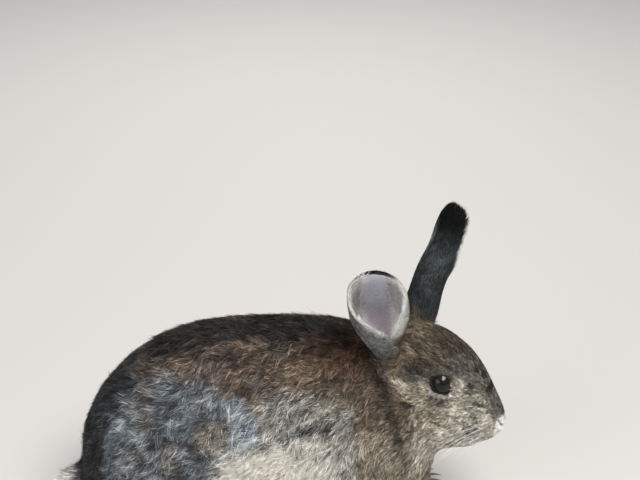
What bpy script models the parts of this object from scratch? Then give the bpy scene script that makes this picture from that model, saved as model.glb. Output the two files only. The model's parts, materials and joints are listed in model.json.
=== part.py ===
"""A domestic rabbit resting in a crouch, life size, as a still display model.

The rabbit faces +X and stands on the plane z = 0.  Its own left is +Y.  The
whole body is modelled first, out to the tips of the coat, from lofted rings,
balls and tapered limbs.  It is then blended into one closed skin and parted
with thin gaps into the pieces that a person would name.
"""

from collections import namedtuple
from math import cos, pi, radians, sin

import bmesh
import bpy
from mathutils import Matrix, Vector
from mathutils.bvhtree import BVHTree

MM = 0.001

# ---------------------------------------------------------------- dimensions
# All lengths are in millimetres until a mesh is made.

GAP = 0.3                    # clear space between neighbouring pieces
BLEND_VOXEL = 2.6            # grain of the blend that joins the masses
BLEND_SMOOTHING = 6          # smoothing passes after the blend
BODY_TRIANGLES = 2500        # budget of the blended body
CUT_YIELD = 0.98             # share of the volume that a sound cut keeps

RING_POINTS = 28             # points around a lofted ring

# Trunk: (x, top z, bottom z, half width, z of the widest level)
TRUNK = (
    (-164.0, 74.0, 26.0, 15.0, 46.0),
    (-159.0, 90.0, 17.0, 27.0, 46.0),
    (-147.0, 112.0, 11.0, 38.0, 48.0),
    (-128.0, 132.0, 9.0, 46.0, 52.0),
    (-106.0, 147.0, 9.0, 51.0, 56.0),
    (-80.0, 155.0, 9.0, 53.0, 60.0),
    (-50.0, 157.0, 9.0, 53.0, 62.0),
    (-20.0, 156.0, 9.0, 53.0, 64.0),
    (8.0, 153.0, 9.0, 50.0, 66.0),
    (32.0, 147.0, 10.0, 46.0, 68.0),
    (52.0, 130.0, 14.0, 41.0, 66.0),
    (68.0, 103.0, 20.0, 33.0, 58.0),
    (79.0, 78.0, 30.0, 22.0, 53.0),
)

# Head frame: origin at the nose tip, u forward along the muzzle, v upward
NOSE_TIP = Vector((124.5, -35.0, 88.0))
HEAD_YAW = -28.0             # turned to the rabbit's right
HEAD_PITCH = -22.0           # muzzle below the level

# Head: (u, top v, bottom v, half width, v of the widest level)
HEAD = (
    (0.5, -2.0, -9.5, 4.0, -6.0),
    (-2.5, 3.5, -15.0, 8.0, -8.0),
    (-6.0, 7.5, -21.0, 11.0, -9.0),
    (-10.0, 11.0, -28.0, 13.0, -10.0),
    (-15.5, 15.5, -34.0, 15.2, -11.0),
    (-23.0, 22.0, -39.5, 18.2, -12.0),
    (-33.0, 29.5, -44.0, 22.5, -12.0),
    (-46.0, 35.5, -46.5, 27.0, -12.0),
    (-60.0, 38.0, -44.0, 29.0, -10.0),
    (-73.0, 38.0, -36.0, 27.5, -4.0),
    (-84.0, 34.0, -22.0, 23.0, 2.0),
    (-92.0, 24.0, -4.0, 13.0, 8.0),
)

EYE_PLACE = Vector((-52.0, 0.0, 14.0))   # u, lateral added below, v
EYE_RADIUS = 8.8
EYE_OFFSET = 16.3            # from the head's mid-plane to the eye's centre

# Ears: base and tip of each, and the way each cup faces
EAR_LENGTH_STATIONS = 15
EAR_SECTION_POINTS = 8       # across one face of the cup
EAR_LAST = 0.9985            # share of the length where the tip is closed off
EAR_THICKNESS = 2.2
EAR_RIM_THICKNESS = 1.1
EAR_CLOSED = 165.0           # half angle of the rolled base, in degrees
EAR_OPEN = 70.0              # half angle of the open cup
EAR_FLATTENING = 18.0        # how much the cup flattens on to its tip
EAR_UNTWISTED = (0.3, 1.1)   # shares of the length over which a twist fades
# Room around an ear above its cut: (height, half width, half depth)
EAR_REGION = (
    (0.0, 12.5, 12.5), (8.0, 15.0, 14.5), (18.0, 19.0, 17.5),
    (30.0, 23.0, 20.0), (50.0, 27.0, 24.0), (140.0, 30.0, 26.0),
)
EAR_CUT = 0.22               # share of the ear's length where it is parted
Ear = namedtuple("Ear", "base tip facing twist bow nod root_half_width half_width swell mouth")
# The mouth of an ear is turned by the twist at its root. The bow leads its line
# away from the mouth, and the nod leans its tip over it. Swell and mouth are the
# shares of the length over which the roll widens and opens.
RIGHT_EAR = Ear(
    base=Vector((47.2, -22.0, 119.3)),
    tip=Vector((25.2, -47.6, 220.0)),
    facing=Vector((0.015, -1.0, -0.55)),
    twist=16.0,
    bow=8.5,
    nod=7.0,
    root_half_width=5.9,
    half_width=18.9,
    swell=(0.10, 0.55),
    mouth=(0.40, 0.95),
)
LEFT_EAR = Ear(
    base=Vector((64.7, 7.0, 126.0)),
    tip=Vector((99.3, 40.0, 215.9)),
    facing=Vector((0.85, 0.53, -0.37)),
    twist=0.0,
    bow=4.9,
    nod=-4.4,
    root_half_width=10.6,
    half_width=18.7,
    swell=(0.46, 1.11),
    mouth=(0.36, 0.79),
)

TAIL_ROOT = Vector((-152.0, 2.0, 36.0))
TAIL_TIP = Vector((-171.6, 4.0, 33.5))
TAIL_ROOT_RADIUS = 15.0
TAIL_TIP_RADIUS = 13.5
LIMBS = {
    # name: list of (x, y outward, z, radius) down the limb, mirrored for the left
    "upper_hind": ((-100.0, 26.0, 76.0, 32.0), (-64.0, 38.0, 66.0, 22.0)),
    "lower_hind": ((-64.0, 39.0, 58.0, 20.0), (-100.0, 42.0, 18.0, 12.0)),
    "hind_foot": ((-104.0, 42.0, 10.0, 10.5), (-70.0, 45.0, 8.5, 10.5),
                  (-34.0, 48.0, 7.0, 9.5)),
    "upper_fore": ((34.0, 26.0, 74.0, 20.0), (22.0, 34.0, 34.0, 14.0)),
    "lower_fore": ((22.0, 32.0, 30.0, 13.0), (52.0, 22.0, 12.0, 9.5)),
    "fore_foot": ((52.0, 21.0, 9.0, 9.5), (68.0, 20.0, 6.5, 8.5)),
}

# Balls of muscle: (x, y outward, z), (length, width, height) half sizes
HAUNCH = ((-98.0, 32.0, 64.0), (55.0, 30.0, 58.0))
SHOULDER = ((32.0, 26.0, 74.0), (36.0, 24.0, 48.0))
CHEEK_PLACE = Vector((-50.0, 17.0, -22.0))   # u, outward, v
CHEEK_SIZE = Vector((21.0, 11.0, 20.0))

# Toes: (start x, start y, end x, end y), and the ball radius at the end
HIND_TOES = ((-38.0, 40.0, -16.0, 37.5), (-36.0, 45.0, -9.0, 44.0),
             (-36.0, 50.0, -9.0, 51.0), (-38.0, 55.0, -16.0, 58.0))
FORE_TOES = ((66.0, 13.5, 78.0, 11.0), (67.0, 18.0, 83.0, 17.0),
             (67.0, 22.5, 83.0, 23.5), (66.0, 27.0, 78.0, 29.5))
TOE_RADIUS = 4.3
# Plan outlines that part the feet from the limbs: (x, y outward)
HIND_FOOT_PLAN = ((-124.0, 29.0), (0.0, 32.0), (0.0, 72.0), (-124.0, 62.0))
FORE_FOOT_PLAN = ((46.0, 6.0), (100.0, 2.0), (100.0, 44.0), (46.0, 38.0))
TOE_LEVEL = 3.2
CLAW_LENGTH = 6.5
CLAW_RADIUS = 1.25

# ------------------------------------------------------------------ colours
# name: (red, green, blue, roughness)
COLOURS = {
    "agouti_coat": (0.17, 0.14, 0.11, 0.9),
    "haunch_coat": (0.16, 0.17, 0.18, 0.9),
    "face_coat": (0.20, 0.17, 0.13, 0.9),
    "ear_coat": (0.06, 0.065, 0.07, 0.9),
    "pale_coat": (0.45, 0.41, 0.34, 0.9),
    "eye": (0.012, 0.008, 0.006, 0.08),
    "claw": (0.20, 0.16, 0.13, 0.4),
}


# -------------------------------------------------------------- small tools
def clear_scene():
    """Start from an empty scene."""
    for old in list(bpy.data.objects):
        bpy.data.objects.remove(old, do_unlink=True)


def material(name):
    """A plain coat, eye or claw material, made once."""
    found = bpy.data.materials.get(name)
    if found:
        return found
    red, green, blue, roughness = COLOURS[name]
    made = bpy.data.materials.new(name)
    made.use_nodes = True
    shader = made.node_tree.nodes["Principled BSDF"]
    shader.inputs["Base Color"].default_value = (red, green, blue, 1.0)
    shader.inputs["Roughness"].default_value = roughness
    shader.inputs["Metallic"].default_value = 0.0
    return made


def add_object(name, mesh, slot=None):
    """Put a mesh in the scene under its node's name."""
    made = bpy.data.objects.new(name, mesh)
    bpy.context.scene.collection.objects.link(made)
    if slot:
        mesh.materials.clear()
        mesh.materials.append(material(slot))
    return made


def remove(*objects):
    """Drop helper objects that have done their work."""
    for old in objects:
        bpy.data.objects.remove(old, do_unlink=True)


def baked(source, name, slot=None):
    """A new object holding the evaluated mesh of another."""
    bpy.context.view_layer.update()
    depsgraph = bpy.context.evaluated_depsgraph_get()
    mesh = bpy.data.meshes.new_from_object(source.evaluated_get(depsgraph))
    mesh.transform(source.matrix_world)
    return add_object(name, mesh, slot)


def boolean(target, other, operation, name, solver="EXACT"):
    """The union, difference or intersection of two bodies, as a new object."""
    step = target.modifiers.new("cut", "BOOLEAN")
    step.operation = operation
    step.solver = solver
    step.object = other
    result = baked(target, name)
    target.modifiers.remove(step)
    return result


def loft(name, rings):
    """One closed body through rings of equal count, capped at both ends."""
    shape = bmesh.new()
    loops = [[shape.verts.new(point * MM) for point in ring] for ring in rings]
    for first, second in zip(loops, loops[1:]):
        count = len(first)
        for index in range(count):
            after = (index + 1) % count
            shape.faces.new((first[index], first[after], second[after], second[index]))
    shape.faces.new(list(reversed(loops[0])))
    shape.faces.new(loops[-1])
    bmesh.ops.recalc_face_normals(shape, faces=shape.faces)
    mesh = bpy.data.meshes.new(name)
    shape.to_mesh(mesh)
    shape.free()
    return add_object(name, mesh)


def ball(name, centre, half_sizes, turn=None, segments=32, rings=20):
    """An ellipsoid with its own turn."""
    shape = bmesh.new()
    bmesh.ops.create_uvsphere(shape, u_segments=segments, v_segments=rings, radius=1.0)
    size = Matrix.Diagonal(Vector(half_sizes)).to_4x4()
    turned = turn.to_matrix().to_4x4() if turn else Matrix.Identity(4)
    place = Matrix.Translation(Vector(centre))
    shape.transform(Matrix.Scale(MM, 4) @ place @ turned @ size)
    mesh = bpy.data.meshes.new(name)
    shape.to_mesh(mesh)
    shape.free()
    return add_object(name, mesh)


def tapered_limb(name, start, end, start_radius, end_radius, sides=20):
    """A round-ended limb between two balls, as rings about its axis."""
    start = Vector(start)
    end = Vector(end)
    axis = (end - start).normalized()
    side = axis.orthogonal().normalized()
    other = axis.cross(side)
    rings = []
    steps = 6
    for step in range(1, steps + 1):
        angle = 0.5 * pi * step / steps
        centre = start - axis * start_radius * cos(angle)
        rings.append((centre, max(start_radius * sin(angle), 0.2)))
    for step in range(0, steps):
        angle = 0.5 * pi * step / steps
        centre = end + axis * end_radius * sin(angle)
        rings.append((centre, max(end_radius * cos(angle), 0.2)))
    loops = []
    for centre, radius in rings:
        loop = []
        for index in range(sides):
            turn = 2.0 * pi * index / sides
            loop.append(centre + (side * cos(turn) + other * sin(turn)) * radius)
        loops.append(loop)
    return loft(name, loops)


def block(name, low, high, frame=None):
    """A box between two corners, in a given frame or the world's."""
    low = Vector(low)
    high = Vector(high)
    shape = bmesh.new()
    bmesh.ops.create_cube(shape, size=1.0)
    size = Matrix.Diagonal(high - low).to_4x4()
    centre = Matrix.Translation((low + high) * 0.5)
    outer = frame if frame else Matrix.Identity(4)
    shape.transform(Matrix.Scale(MM, 4) @ outer @ centre @ size)
    mesh = bpy.data.meshes.new(name)
    shape.to_mesh(mesh)
    shape.free()
    return add_object(name, mesh)


# ---------------------------------------------------------------- the masses
def egg_ring(top, bottom, half_width, widest, fullness=2.25):
    """A ring in its own plane: (sideways, height) pairs, widest at a given level."""
    points = []
    for index in range(RING_POINTS):
        angle = 2.0 * pi * index / RING_POINTS
        across = cos(angle)
        rise = sin(angle)
        reach = (abs(across) ** fullness + abs(rise) ** fullness) ** (-1.0 / fullness)
        height = top - widest if rise > 0.0 else widest - bottom
        points.append((across * reach * half_width, widest + rise * reach * height))
    return points


def trunk_mass():
    """The trunk from rump to breast, as egg-shaped rings along X."""
    rings = []
    for x, top, bottom, half_width, widest in TRUNK:
        pairs = egg_ring(top, bottom, half_width, widest)
        rings.append([Vector((x, across, height)) for across, height in pairs])
    return loft("mass_trunk", rings)


def head_frame():
    """Turns head coordinates (u forward, left, v up) into the body's."""
    yaw = Matrix.Rotation(radians(HEAD_YAW), 4, "Z")
    pitch = Matrix.Rotation(radians(-HEAD_PITCH), 4, "Y")
    return Matrix.Translation(NOSE_TIP) @ yaw @ pitch


def head_masses():
    """The skull and muzzle as rings along the muzzle, with full cheeks."""
    frame = head_frame()
    rings = []
    for u, top, bottom, half_width, widest in HEAD:
        pairs = egg_ring(top, bottom, half_width, widest, 2.15)
        rings.append([frame @ Vector((u, across, height)) for across, height in pairs])
    masses = [loft("mass_head", rings)]
    turn = frame.to_quaternion()
    for side in (-1.0, 1.0):
        place = frame @ Vector((CHEEK_PLACE.x, side * CHEEK_PLACE.y, CHEEK_PLACE.z))
        masses.append(ball("mass_cheek", place, CHEEK_SIZE, turn))
    return masses


def neck_masses():
    """The short thick neck, its throat and the nape that leads to the ears."""
    return [
        tapered_limb("mass_neck", (18.0, 3.0, 104.0), (54.0, -3.0, 105.0), 43.0, 32.0),
        tapered_limb("mass_throat", (52.0, -2.0, 66.0), (76.0, -11.0, 78.0), 26.0, 22.0),
    ]


def limb_masses():
    """Both sides' haunches, shoulders, limbs, feet and toes."""
    masses = []
    for side in (-1.0, 1.0):
        for centre, half_sizes in (HAUNCH, SHOULDER):
            place = (centre[0], side * centre[1], centre[2])
            masses.append(ball("mass_muscle", place, half_sizes))
        for joints in LIMBS.values():
            for first, second in zip(joints, joints[1:]):
                start = (first[0], side * first[1], first[2])
                end = (second[0], side * second[1], second[2])
                masses.append(tapered_limb("mass_limb", start, end, first[3], second[3]))
        for toes in (HIND_TOES, FORE_TOES):
            for x0, y0, x1, y1 in toes:
                start = (x0, side * y0, TOE_LEVEL + 2.0)
                end = (x1, side * y1, TOE_LEVEL)
                masses.append(tapered_limb("mass_toe", start, end, TOE_RADIUS, TOE_RADIUS))
    return masses


def tail_mass():
    """The short tail, carried low behind the rump."""
    return tapered_limb("mass_tail", TAIL_ROOT, TAIL_TIP, TAIL_ROOT_RADIUS, TAIL_TIP_RADIUS)


def blended_body():
    """All masses melted into one smooth closed body."""
    masses = [trunk_mass(), *head_masses(), *neck_masses(), *limb_masses(), tail_mass()]
    shape = bmesh.new()
    for mass in masses:
        shape.from_mesh(mass.data)
    mesh = bpy.data.meshes.new("masses")
    shape.to_mesh(mesh)
    shape.free()
    remove(*masses)
    joined = add_object("masses", mesh)
    melt = joined.modifiers.new("melt", "REMESH")
    melt.mode = "VOXEL"
    melt.voxel_size = BLEND_VOXEL * MM
    soften = joined.modifiers.new("soften", "SMOOTH")
    soften.factor = 0.5
    soften.iterations = BLEND_SMOOTHING
    dense = baked(joined, "dense")
    faces = sum(len(polygon.vertices) - 2 for polygon in dense.data.polygons)
    thin = dense.modifiers.new("thin", "DECIMATE")
    thin.ratio = BODY_TRIANGLES / faces
    body = baked(dense, "body")
    remove(joined, dense)
    return body


# ------------------------------------------------------------------- the ears
def smooth_step(low, high, value):
    """0 below low, 1 above high, and an even ease between."""
    share = min(max((value - low) / (high - low), 0.0), 1.0)
    return share * share * (3.0 - 2.0 * share)


def ear_axes(ear):
    """Unit directions along an ear and out of its mouth."""
    along = (ear.tip - ear.base).normalized()
    out = (ear.facing - along * ear.facing.dot(along)).normalized()
    return along, out


def ear_line(ear, share):
    """A point on the ear's line, which bows gently back before the tip nods."""
    _, out = ear_axes(ear)
    bow = 4.0 * share * (1.0 - share) * ear.bow
    nod = ear.nod * max((share - 0.72) / 0.28, 0.0) ** 2
    return ear.base.lerp(ear.tip, share) + out * (nod - bow)


def ear_half_width(ear, share):
    """Half the mouth of the cup, from the rolled base to the rounded tip."""
    widened = (ear.half_width - ear.root_half_width) * smooth_step(*ear.swell, share)
    fall = max((share - 0.60) / 0.40, 0.0)
    return (ear.root_half_width + widened) * max(1.0 - fall ** 3.0, 0.0) ** 0.52


def ear_opening(ear, share):
    """Half the angle of the cup's arc: nearly a tube below, a shallow dish above."""
    opened = (EAR_CLOSED - EAR_OPEN) * smooth_step(*ear.mouth, share)
    return radians(EAR_CLOSED - opened - EAR_FLATTENING * max(share - 0.5, 0.0) / 0.5)


def ear_rings(ear):
    """Crescent sections of the cupped ear, each a closed loop."""
    along, straight_out = ear_axes(ear)
    rings = []
    last = EAR_LENGTH_STATIONS - 1
    for station in range(EAR_LENGTH_STATIONS):
        share = station / last
        # stations crowd towards the rounded tip
        share = min(1.0 - (1.0 - share) ** 1.6, EAR_LAST)
        centre = ear_line(ear, share)
        turn = radians(ear.twist * (1.0 - smooth_step(*EAR_UNTWISTED, share)))
        out = straight_out * cos(turn) + along.cross(straight_out) * sin(turn)
        across = along.cross(out)
        opening = ear_opening(ear, share)
        half_width = ear_half_width(ear, share)
        radius = half_width / sin(min(opening, 0.5 * pi))
        shift = radius * (1.0 + cos(opening)) * 0.5
        outer = []
        inner = []
        for index in range(EAR_SECTION_POINTS):
            spread = 2.0 * index / (EAR_SECTION_POINTS - 1) - 1.0
            angle = opening * spread
            thickness = EAR_THICKNESS + (EAR_RIM_THICKNESS - EAR_THICKNESS) * spread ** 4
            direction = across * sin(angle) - out * cos(angle)
            middle = centre + out * shift
            outer.append(middle + direction * (radius + thickness * 0.5))
            inner.append(middle + direction * (radius - thickness * 0.5))
        rings.append(outer + list(reversed(inner)))
    return rings


# ------------------------------------------------------------------- parting
def volume(thing):
    """The volume that a closed mesh holds."""
    shape = bmesh.new()
    shape.from_mesh(thing.data)
    held = shape.calc_volume()
    shape.free()
    return held


def keep_largest(thing):
    """Drop crumbs that a cut left behind, and keep the main piece."""
    shape = bmesh.new()
    shape.from_mesh(thing.data)
    bmesh.ops.remove_doubles(shape, verts=shape.verts, dist=0.00001)
    left = set(shape.verts)
    groups = []
    while left:
        first = left.pop()
        group = [first]
        front = [first]
        while front:
            vert = front.pop()
            for edge in vert.link_edges:
                near = edge.other_vert(vert)
                if near in left:
                    left.remove(near)
                    group.append(near)
                    front.append(near)
        groups.append(group)
    groups.sort(key=len)
    for group in groups[:-1]:
        bmesh.ops.delete(shape, geom=group, context="VERTS")
    shape.to_mesh(thing.data)
    shape.free()


def part_off(rest, name, slot, region):
    """Cut the piece inside a region out of the rest, leaving a thin gap.

    region(margin) makes the cutting volume, grown by the margin.
    """
    cutter = region(0.0)
    wider = region(GAP)
    whole = volume(rest)
    for solver in ("EXACT", "MANIFOLD"):
        piece = boolean(rest, cutter, "INTERSECT", name, solver)
        smaller = boolean(rest, wider, "DIFFERENCE", "rest", solver)
        keep_largest(piece)
        keep_largest(smaller)
        # a cut that went well loses only the gap
        if volume(piece) + volume(smaller) > CUT_YIELD * whole:
            break
        remove(piece, smaller)
    remove(rest, cutter, wider)
    piece.data.materials.clear()
    piece.data.materials.append(material(slot))
    return smaller


def eye_region(side):
    """The ball of one eye, set deep in the side of the head."""
    frame = head_frame()
    centre = frame @ Vector((EYE_PLACE.x, side * EYE_OFFSET, EYE_PLACE.z))
    turn = frame.to_quaternion()

    def region(margin):
        size = EYE_RADIUS + margin
        return ball("cutter", centre, (size, size, size), turn, 16, 10)

    return region


def ear_frame(ear):
    """Axes of one ear: across its mouth, out of its mouth, and along it."""
    along, out = ear_axes(ear)
    frame = Matrix((out.cross(along), out, along)).transposed().to_4x4()
    return Matrix.Translation(ear_line(ear, EAR_CUT)) @ frame


def ear_region(ear):
    """Everything of an ear above its cut line near the head."""
    frame = ear_frame(ear)

    def region(margin):
        rings = []
        corners = ((-1, -1), (1, -1), (1, 1), (-1, 1))
        for height, half_across, half_out in EAR_REGION:
            low = height - margin if height == 0.0 else height
            rings.append([frame @ Vector((half_across * a, half_out * b, low)) for a, b in corners])
        return loft("cutter", rings)

    return region


def prism(name, outline, half_depth, frame):
    """A block with a flat outline of (forward, up) points, spread sideways."""
    rings = []
    for across in (-half_depth, half_depth):
        rings.append([frame @ Vector((forward, across, up)) for forward, up in outline])
    return loft(name, rings)


def head_region(margin):
    """The head, from the nape and the angle of the jaw forward."""
    frame = Matrix.Translation(NOSE_TIP) @ Matrix.Rotation(radians(HEAD_YAW), 4, "Z")
    outline = (
        (-88.0 - margin, 90.0),
        (-88.0 - margin, 50.0),
        (-63.0 - margin, -32.0 - margin),
        (40.0, -32.0 - margin),
        (40.0, 90.0),
    )
    return prism("cutter", outline, 70.0, frame)


def neck_region(margin):
    """The neck, in front of the shoulders and above the breast."""
    outline = (
        (8.0 - margin, 190.0),
        (8.0 - margin, 150.0),
        (34.0 - margin, 62.0 - margin),
        (140.0, 54.0 - margin),
        (140.0, 190.0),
    )
    return prism("cutter", outline, 90.0, Matrix.Identity(4))


def tail_region(margin):
    """The tail, below and behind the rump."""
    frame = Matrix.Translation(Vector((-165.5, 0.0, 40.0)))
    turn = Matrix.Rotation(radians(-28.0), 4, "Y")
    return block("cutter", (-60.0, -40.0, -60.0), (margin, 40.0, 30.0 + margin), frame @ turn)


def haunch_region(side):
    """The great muscle of the thigh, down to the hock."""
    def region(margin):
        centre = (-103.0, side * 48.0, 68.0)
        sizes = (58.0 + margin, 36.0 + margin, 64.0 + margin)
        return ball("cutter", centre, sizes, None, 20, 12)

    return region


def foreleg_region(side):
    """The shoulder and forearm."""
    def region(margin):
        centre = (34.0, side * 48.0, 46.0)
        sizes = (35.0 + margin, 31.0 + margin, 43.0 + margin)
        return ball("cutter", centre, sizes, None, 16, 10)

    return region


def foot_region(outline, height, side):
    """A foot, under a level cut and inside a plan outline of (x, y outward)."""
    def region(margin):
        middle_x = sum(point[0] for point in outline) / len(outline)
        middle_y = sum(point[1] for point in outline) / len(outline)
        rings = []
        for level in (-10.0, height + margin):
            ring = []
            for x, y in outline:
                grown_x = x + margin * (1.0 if x > middle_x else -1.0)
                grown_y = y + margin * (1.0 if y > middle_y else -1.0)
                ring.append(Vector((grown_x, side * grown_y, level)))
            rings.append(ring)
        return loft("cutter", rings)

    return region


# --------------------------------------------------------------------- claws
def claw(name, start, end):
    """A small curved claw, thicker than it is at its point."""
    start = Vector(start)
    end = Vector(end)
    reach = end - start
    side = reach.cross(Vector((0.0, 0.0, 1.0))).normalized()
    rings = []
    steps = 3
    for step in range(steps + 1):
        share = step / steps
        sag = Vector((0.0, 0.0, -1.1 * share * share))
        centre = start + reach * share + sag
        radius = CLAW_RADIUS * (1.0 - 0.72 * share ** 1.5)
        up = Vector((0.0, 0.0, 1.0))
        loop = []
        for index in range(7):
            turn = 2.0 * pi * index / 7
            loop.append(centre + side * cos(turn) * radius * 0.8 + up * sin(turn) * radius)
        rings.append(loop)
    return loft(name, rings)


def claw_root(foot, toe, side):
    """Where a claw starts: just clear of the toe's tip, and the way it points."""
    x0, y0, x1, y1 = toe
    centre = Vector((x1, side * y1, TOE_LEVEL + 0.8))
    heading = Vector((x1 - x0, side * (y1 - y0), 0.0)).normalized()
    across = heading.cross(Vector((0.0, 0.0, 1.0)))
    tree = BVHTree.FromObject(foot, bpy.context.evaluated_depsgraph_get())
    far = 20.0
    reach = 0.0
    for index in range(13):
        turn = 2.0 * pi * index / 12
        size = 0.0 if index == 12 else 1.15 * CLAW_RADIUS
        offset = across * cos(turn) * size + Vector((0.0, 0.0, sin(turn) * size))
        hit = tree.ray_cast((centre + offset + heading * far) * MM, -heading)
        if hit[0] is not None:
            reach = max(reach, far - hit[3] / MM)
    return centre + heading * (reach + GAP), heading


def add_claws(foot, side_name, side, toes, prefix):
    """Set a claw in front of each toe of a foot."""
    for number, toe in enumerate(toes, 1):
        root, heading = claw_root(foot, toe, side)
        name = f"{prefix}_claw_{side_name}_{number}"
        made = claw(name, root, root + heading * CLAW_LENGTH)
        made.data.materials.append(material("claw"))


# ------------------------------------------------------------------- assembly
def settle(things):
    """Shift all pieces so the origin is at the middle of the footprint, on the floor."""
    corners = [vert.co for thing in things for vert in thing.data.vertices]
    low_x = min(corner.x for corner in corners)
    high_x = max(corner.x for corner in corners)
    low_y = min(corner.y for corner in corners)
    high_y = max(corner.y for corner in corners)
    low_z = min(corner.z for corner in corners)
    shift = Matrix.Translation(Vector((-(low_x + high_x) / 2, -(low_y + high_y) / 2, -low_z)))
    for thing in things:
        thing.data.transform(shift)


def main():
    """Model the rabbit whole, then part it into its named pieces."""
    clear_scene()
    body = blended_body()

    floor = block("floor", (-300, -200, -60), (300, 200, 0.0))
    trimmed = boolean(body, floor, "DIFFERENCE", "trimmed")
    remove(body, floor)
    keep_largest(trimmed)

    ears = {"ear_right": RIGHT_EAR, "ear_left": LEFT_EAR}
    whole = trimmed
    for ear in ears.values():
        blade = loft("blade", ear_rings(ear))
        joined = boolean(whole, blade, "UNION", "joined")
        remove(whole, blade)
        keep_largest(joined)
        whole = joined

    rest = whole
    for name, ear in ears.items():
        rest = part_off(rest, name, "ear_coat", ear_region(ear))
    for side_name, side in (("right", -1.0), ("left", 1.0)):
        region = eye_region(side)
        rest = part_off(rest, f"eye_{side_name}", "eye", region)
        old = bpy.data.objects[f"eye_{side_name}"]
        remove(old)
        eye = region(0.0)
        eye.name = f"eye_{side_name}"
        eye.data.materials.append(material("eye"))
    rest = part_off(rest, "head", "face_coat", head_region)
    rest = part_off(rest, "neck", "agouti_coat", neck_region)
    rest = part_off(rest, "tail", "pale_coat", tail_region)
    feet = {
        "hindfoot": (HIND_FOOT_PLAN, 18.5, HIND_TOES, "hind"),
        "forefoot": (FORE_FOOT_PLAN, 16.0, FORE_TOES, "fore"),
    }
    for foot_name, (outline, height, toes, prefix) in feet.items():
        for side_name, side in (("right", -1.0), ("left", 1.0)):
            name = f"{foot_name}_{side_name}"
            rest = part_off(rest, name, "pale_coat", foot_region(outline, height, side))
            add_claws(bpy.data.objects[name], side_name, side, toes, prefix)
    for side_name, side in (("right", -1.0), ("left", 1.0)):
        rest = part_off(rest, f"hindleg_{side_name}", "haunch_coat", haunch_region(side))
        rest = part_off(rest, f"foreleg_{side_name}", "agouti_coat", foreleg_region(side))
    rest.name = "trunk"
    rest.data.materials.clear()
    rest.data.materials.append(material("agouti_coat"))
    settle(list(bpy.data.objects))


main()
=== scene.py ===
"""The looks of a resting domestic rabbit: skin, eyes, whiskers, claws and coat.

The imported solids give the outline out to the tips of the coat.  One skin is made
inside them, deeper where the coat is longer.  Tufts then rise from the skin to
that outline and lie back along the body.  Lengths here are in millimetres until
a mesh is made.
"""

import json
from collections import namedtuple
from itertools import product
from types import SimpleNamespace

import bmesh
import bpy
import numpy as np
from mathutils import Matrix, Vector
from mathutils.bvhtree import BVHTree
from mathutils.kdtree import KDTree

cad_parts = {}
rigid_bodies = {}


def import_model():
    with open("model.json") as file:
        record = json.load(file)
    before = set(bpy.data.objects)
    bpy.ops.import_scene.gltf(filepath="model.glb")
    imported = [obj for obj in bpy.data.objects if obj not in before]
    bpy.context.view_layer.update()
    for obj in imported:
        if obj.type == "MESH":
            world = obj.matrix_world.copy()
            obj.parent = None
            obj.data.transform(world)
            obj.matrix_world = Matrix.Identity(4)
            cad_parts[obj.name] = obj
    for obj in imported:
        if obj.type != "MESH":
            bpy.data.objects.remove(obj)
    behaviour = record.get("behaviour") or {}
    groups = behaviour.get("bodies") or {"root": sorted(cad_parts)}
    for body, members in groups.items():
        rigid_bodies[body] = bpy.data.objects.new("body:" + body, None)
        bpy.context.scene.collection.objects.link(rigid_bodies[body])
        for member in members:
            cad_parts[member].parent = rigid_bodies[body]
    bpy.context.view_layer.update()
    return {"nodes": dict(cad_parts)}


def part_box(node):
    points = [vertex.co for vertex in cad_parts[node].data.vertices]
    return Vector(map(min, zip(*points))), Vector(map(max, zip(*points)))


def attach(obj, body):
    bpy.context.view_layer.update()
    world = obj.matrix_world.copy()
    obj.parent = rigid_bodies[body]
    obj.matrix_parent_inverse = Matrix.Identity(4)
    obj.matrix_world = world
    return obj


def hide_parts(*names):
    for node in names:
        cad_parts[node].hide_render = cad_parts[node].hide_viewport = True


MM = 0.001
OUTWARD = {"right": -1.0, "left": 1.0}

# ---- the head
# Head places are forward of the nose tip, left or outward, and upward.
HEAD_YAW = -28.0
HEAD_PITCH = 22.0
EYE_MIDDLE = np.array([-52.0, 0.0, 14.0])
EYE_OUT = 24.0               # where the eyes look out of the head's sides
EYE_RADIUS = 8.8
EYE_FORWARD_TURN = 0.10      # the eyes look a little forward
EYE_UPWARD_TURN = 0.22       # and a little up
LID_OPENING = 6.5            # half the width of the open eye
LID_THICKNESS = 0.60
LID_REACH = 7.0              # how far the lids' swelling reaches
SKIN_BEHIND_EYE = 1.3
SOCKET_RADIUS = 17.0
# Size, angle and width of what each adds to the round opening of the lids
INNER_CORNER = (0.50, -0.48, 0.30)
OUTER_CORNER = (0.10, np.pi, 0.35)
FLAT_TOP = (-0.05, 1.6, 0.6)
# Height, distance from the opening and width of the lids' own relief
LID_RIM = (0.35, 0.55, 0.45)
LID_CREASE = (-0.45, 2.6, 0.60)

# ---- the ears
# These repeat the solids' ears, which are measured from the head's nose tip.
EAR_THICKNESS = 1.7
EAR_RIM_THICKNESS = 0.7
EAR_CLOSED = 177.5           # half angle of the rolled base, in degrees
EAR_OPEN = 70.0              # half angle of the open cup
EAR_FLATTENING = 18.0        # how much the cup flattens on to its tip
EAR_BARE = (26.0, 38.0)      # degrees of bare cup towards its outer and inner rim
EAR_UNTWISTED = (0.3, 1.1)   # shares of the length over which a twist fades
EarShape = namedtuple("EarShape", "base tip facing twist bow nod root_width width swell mouth")
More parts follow.
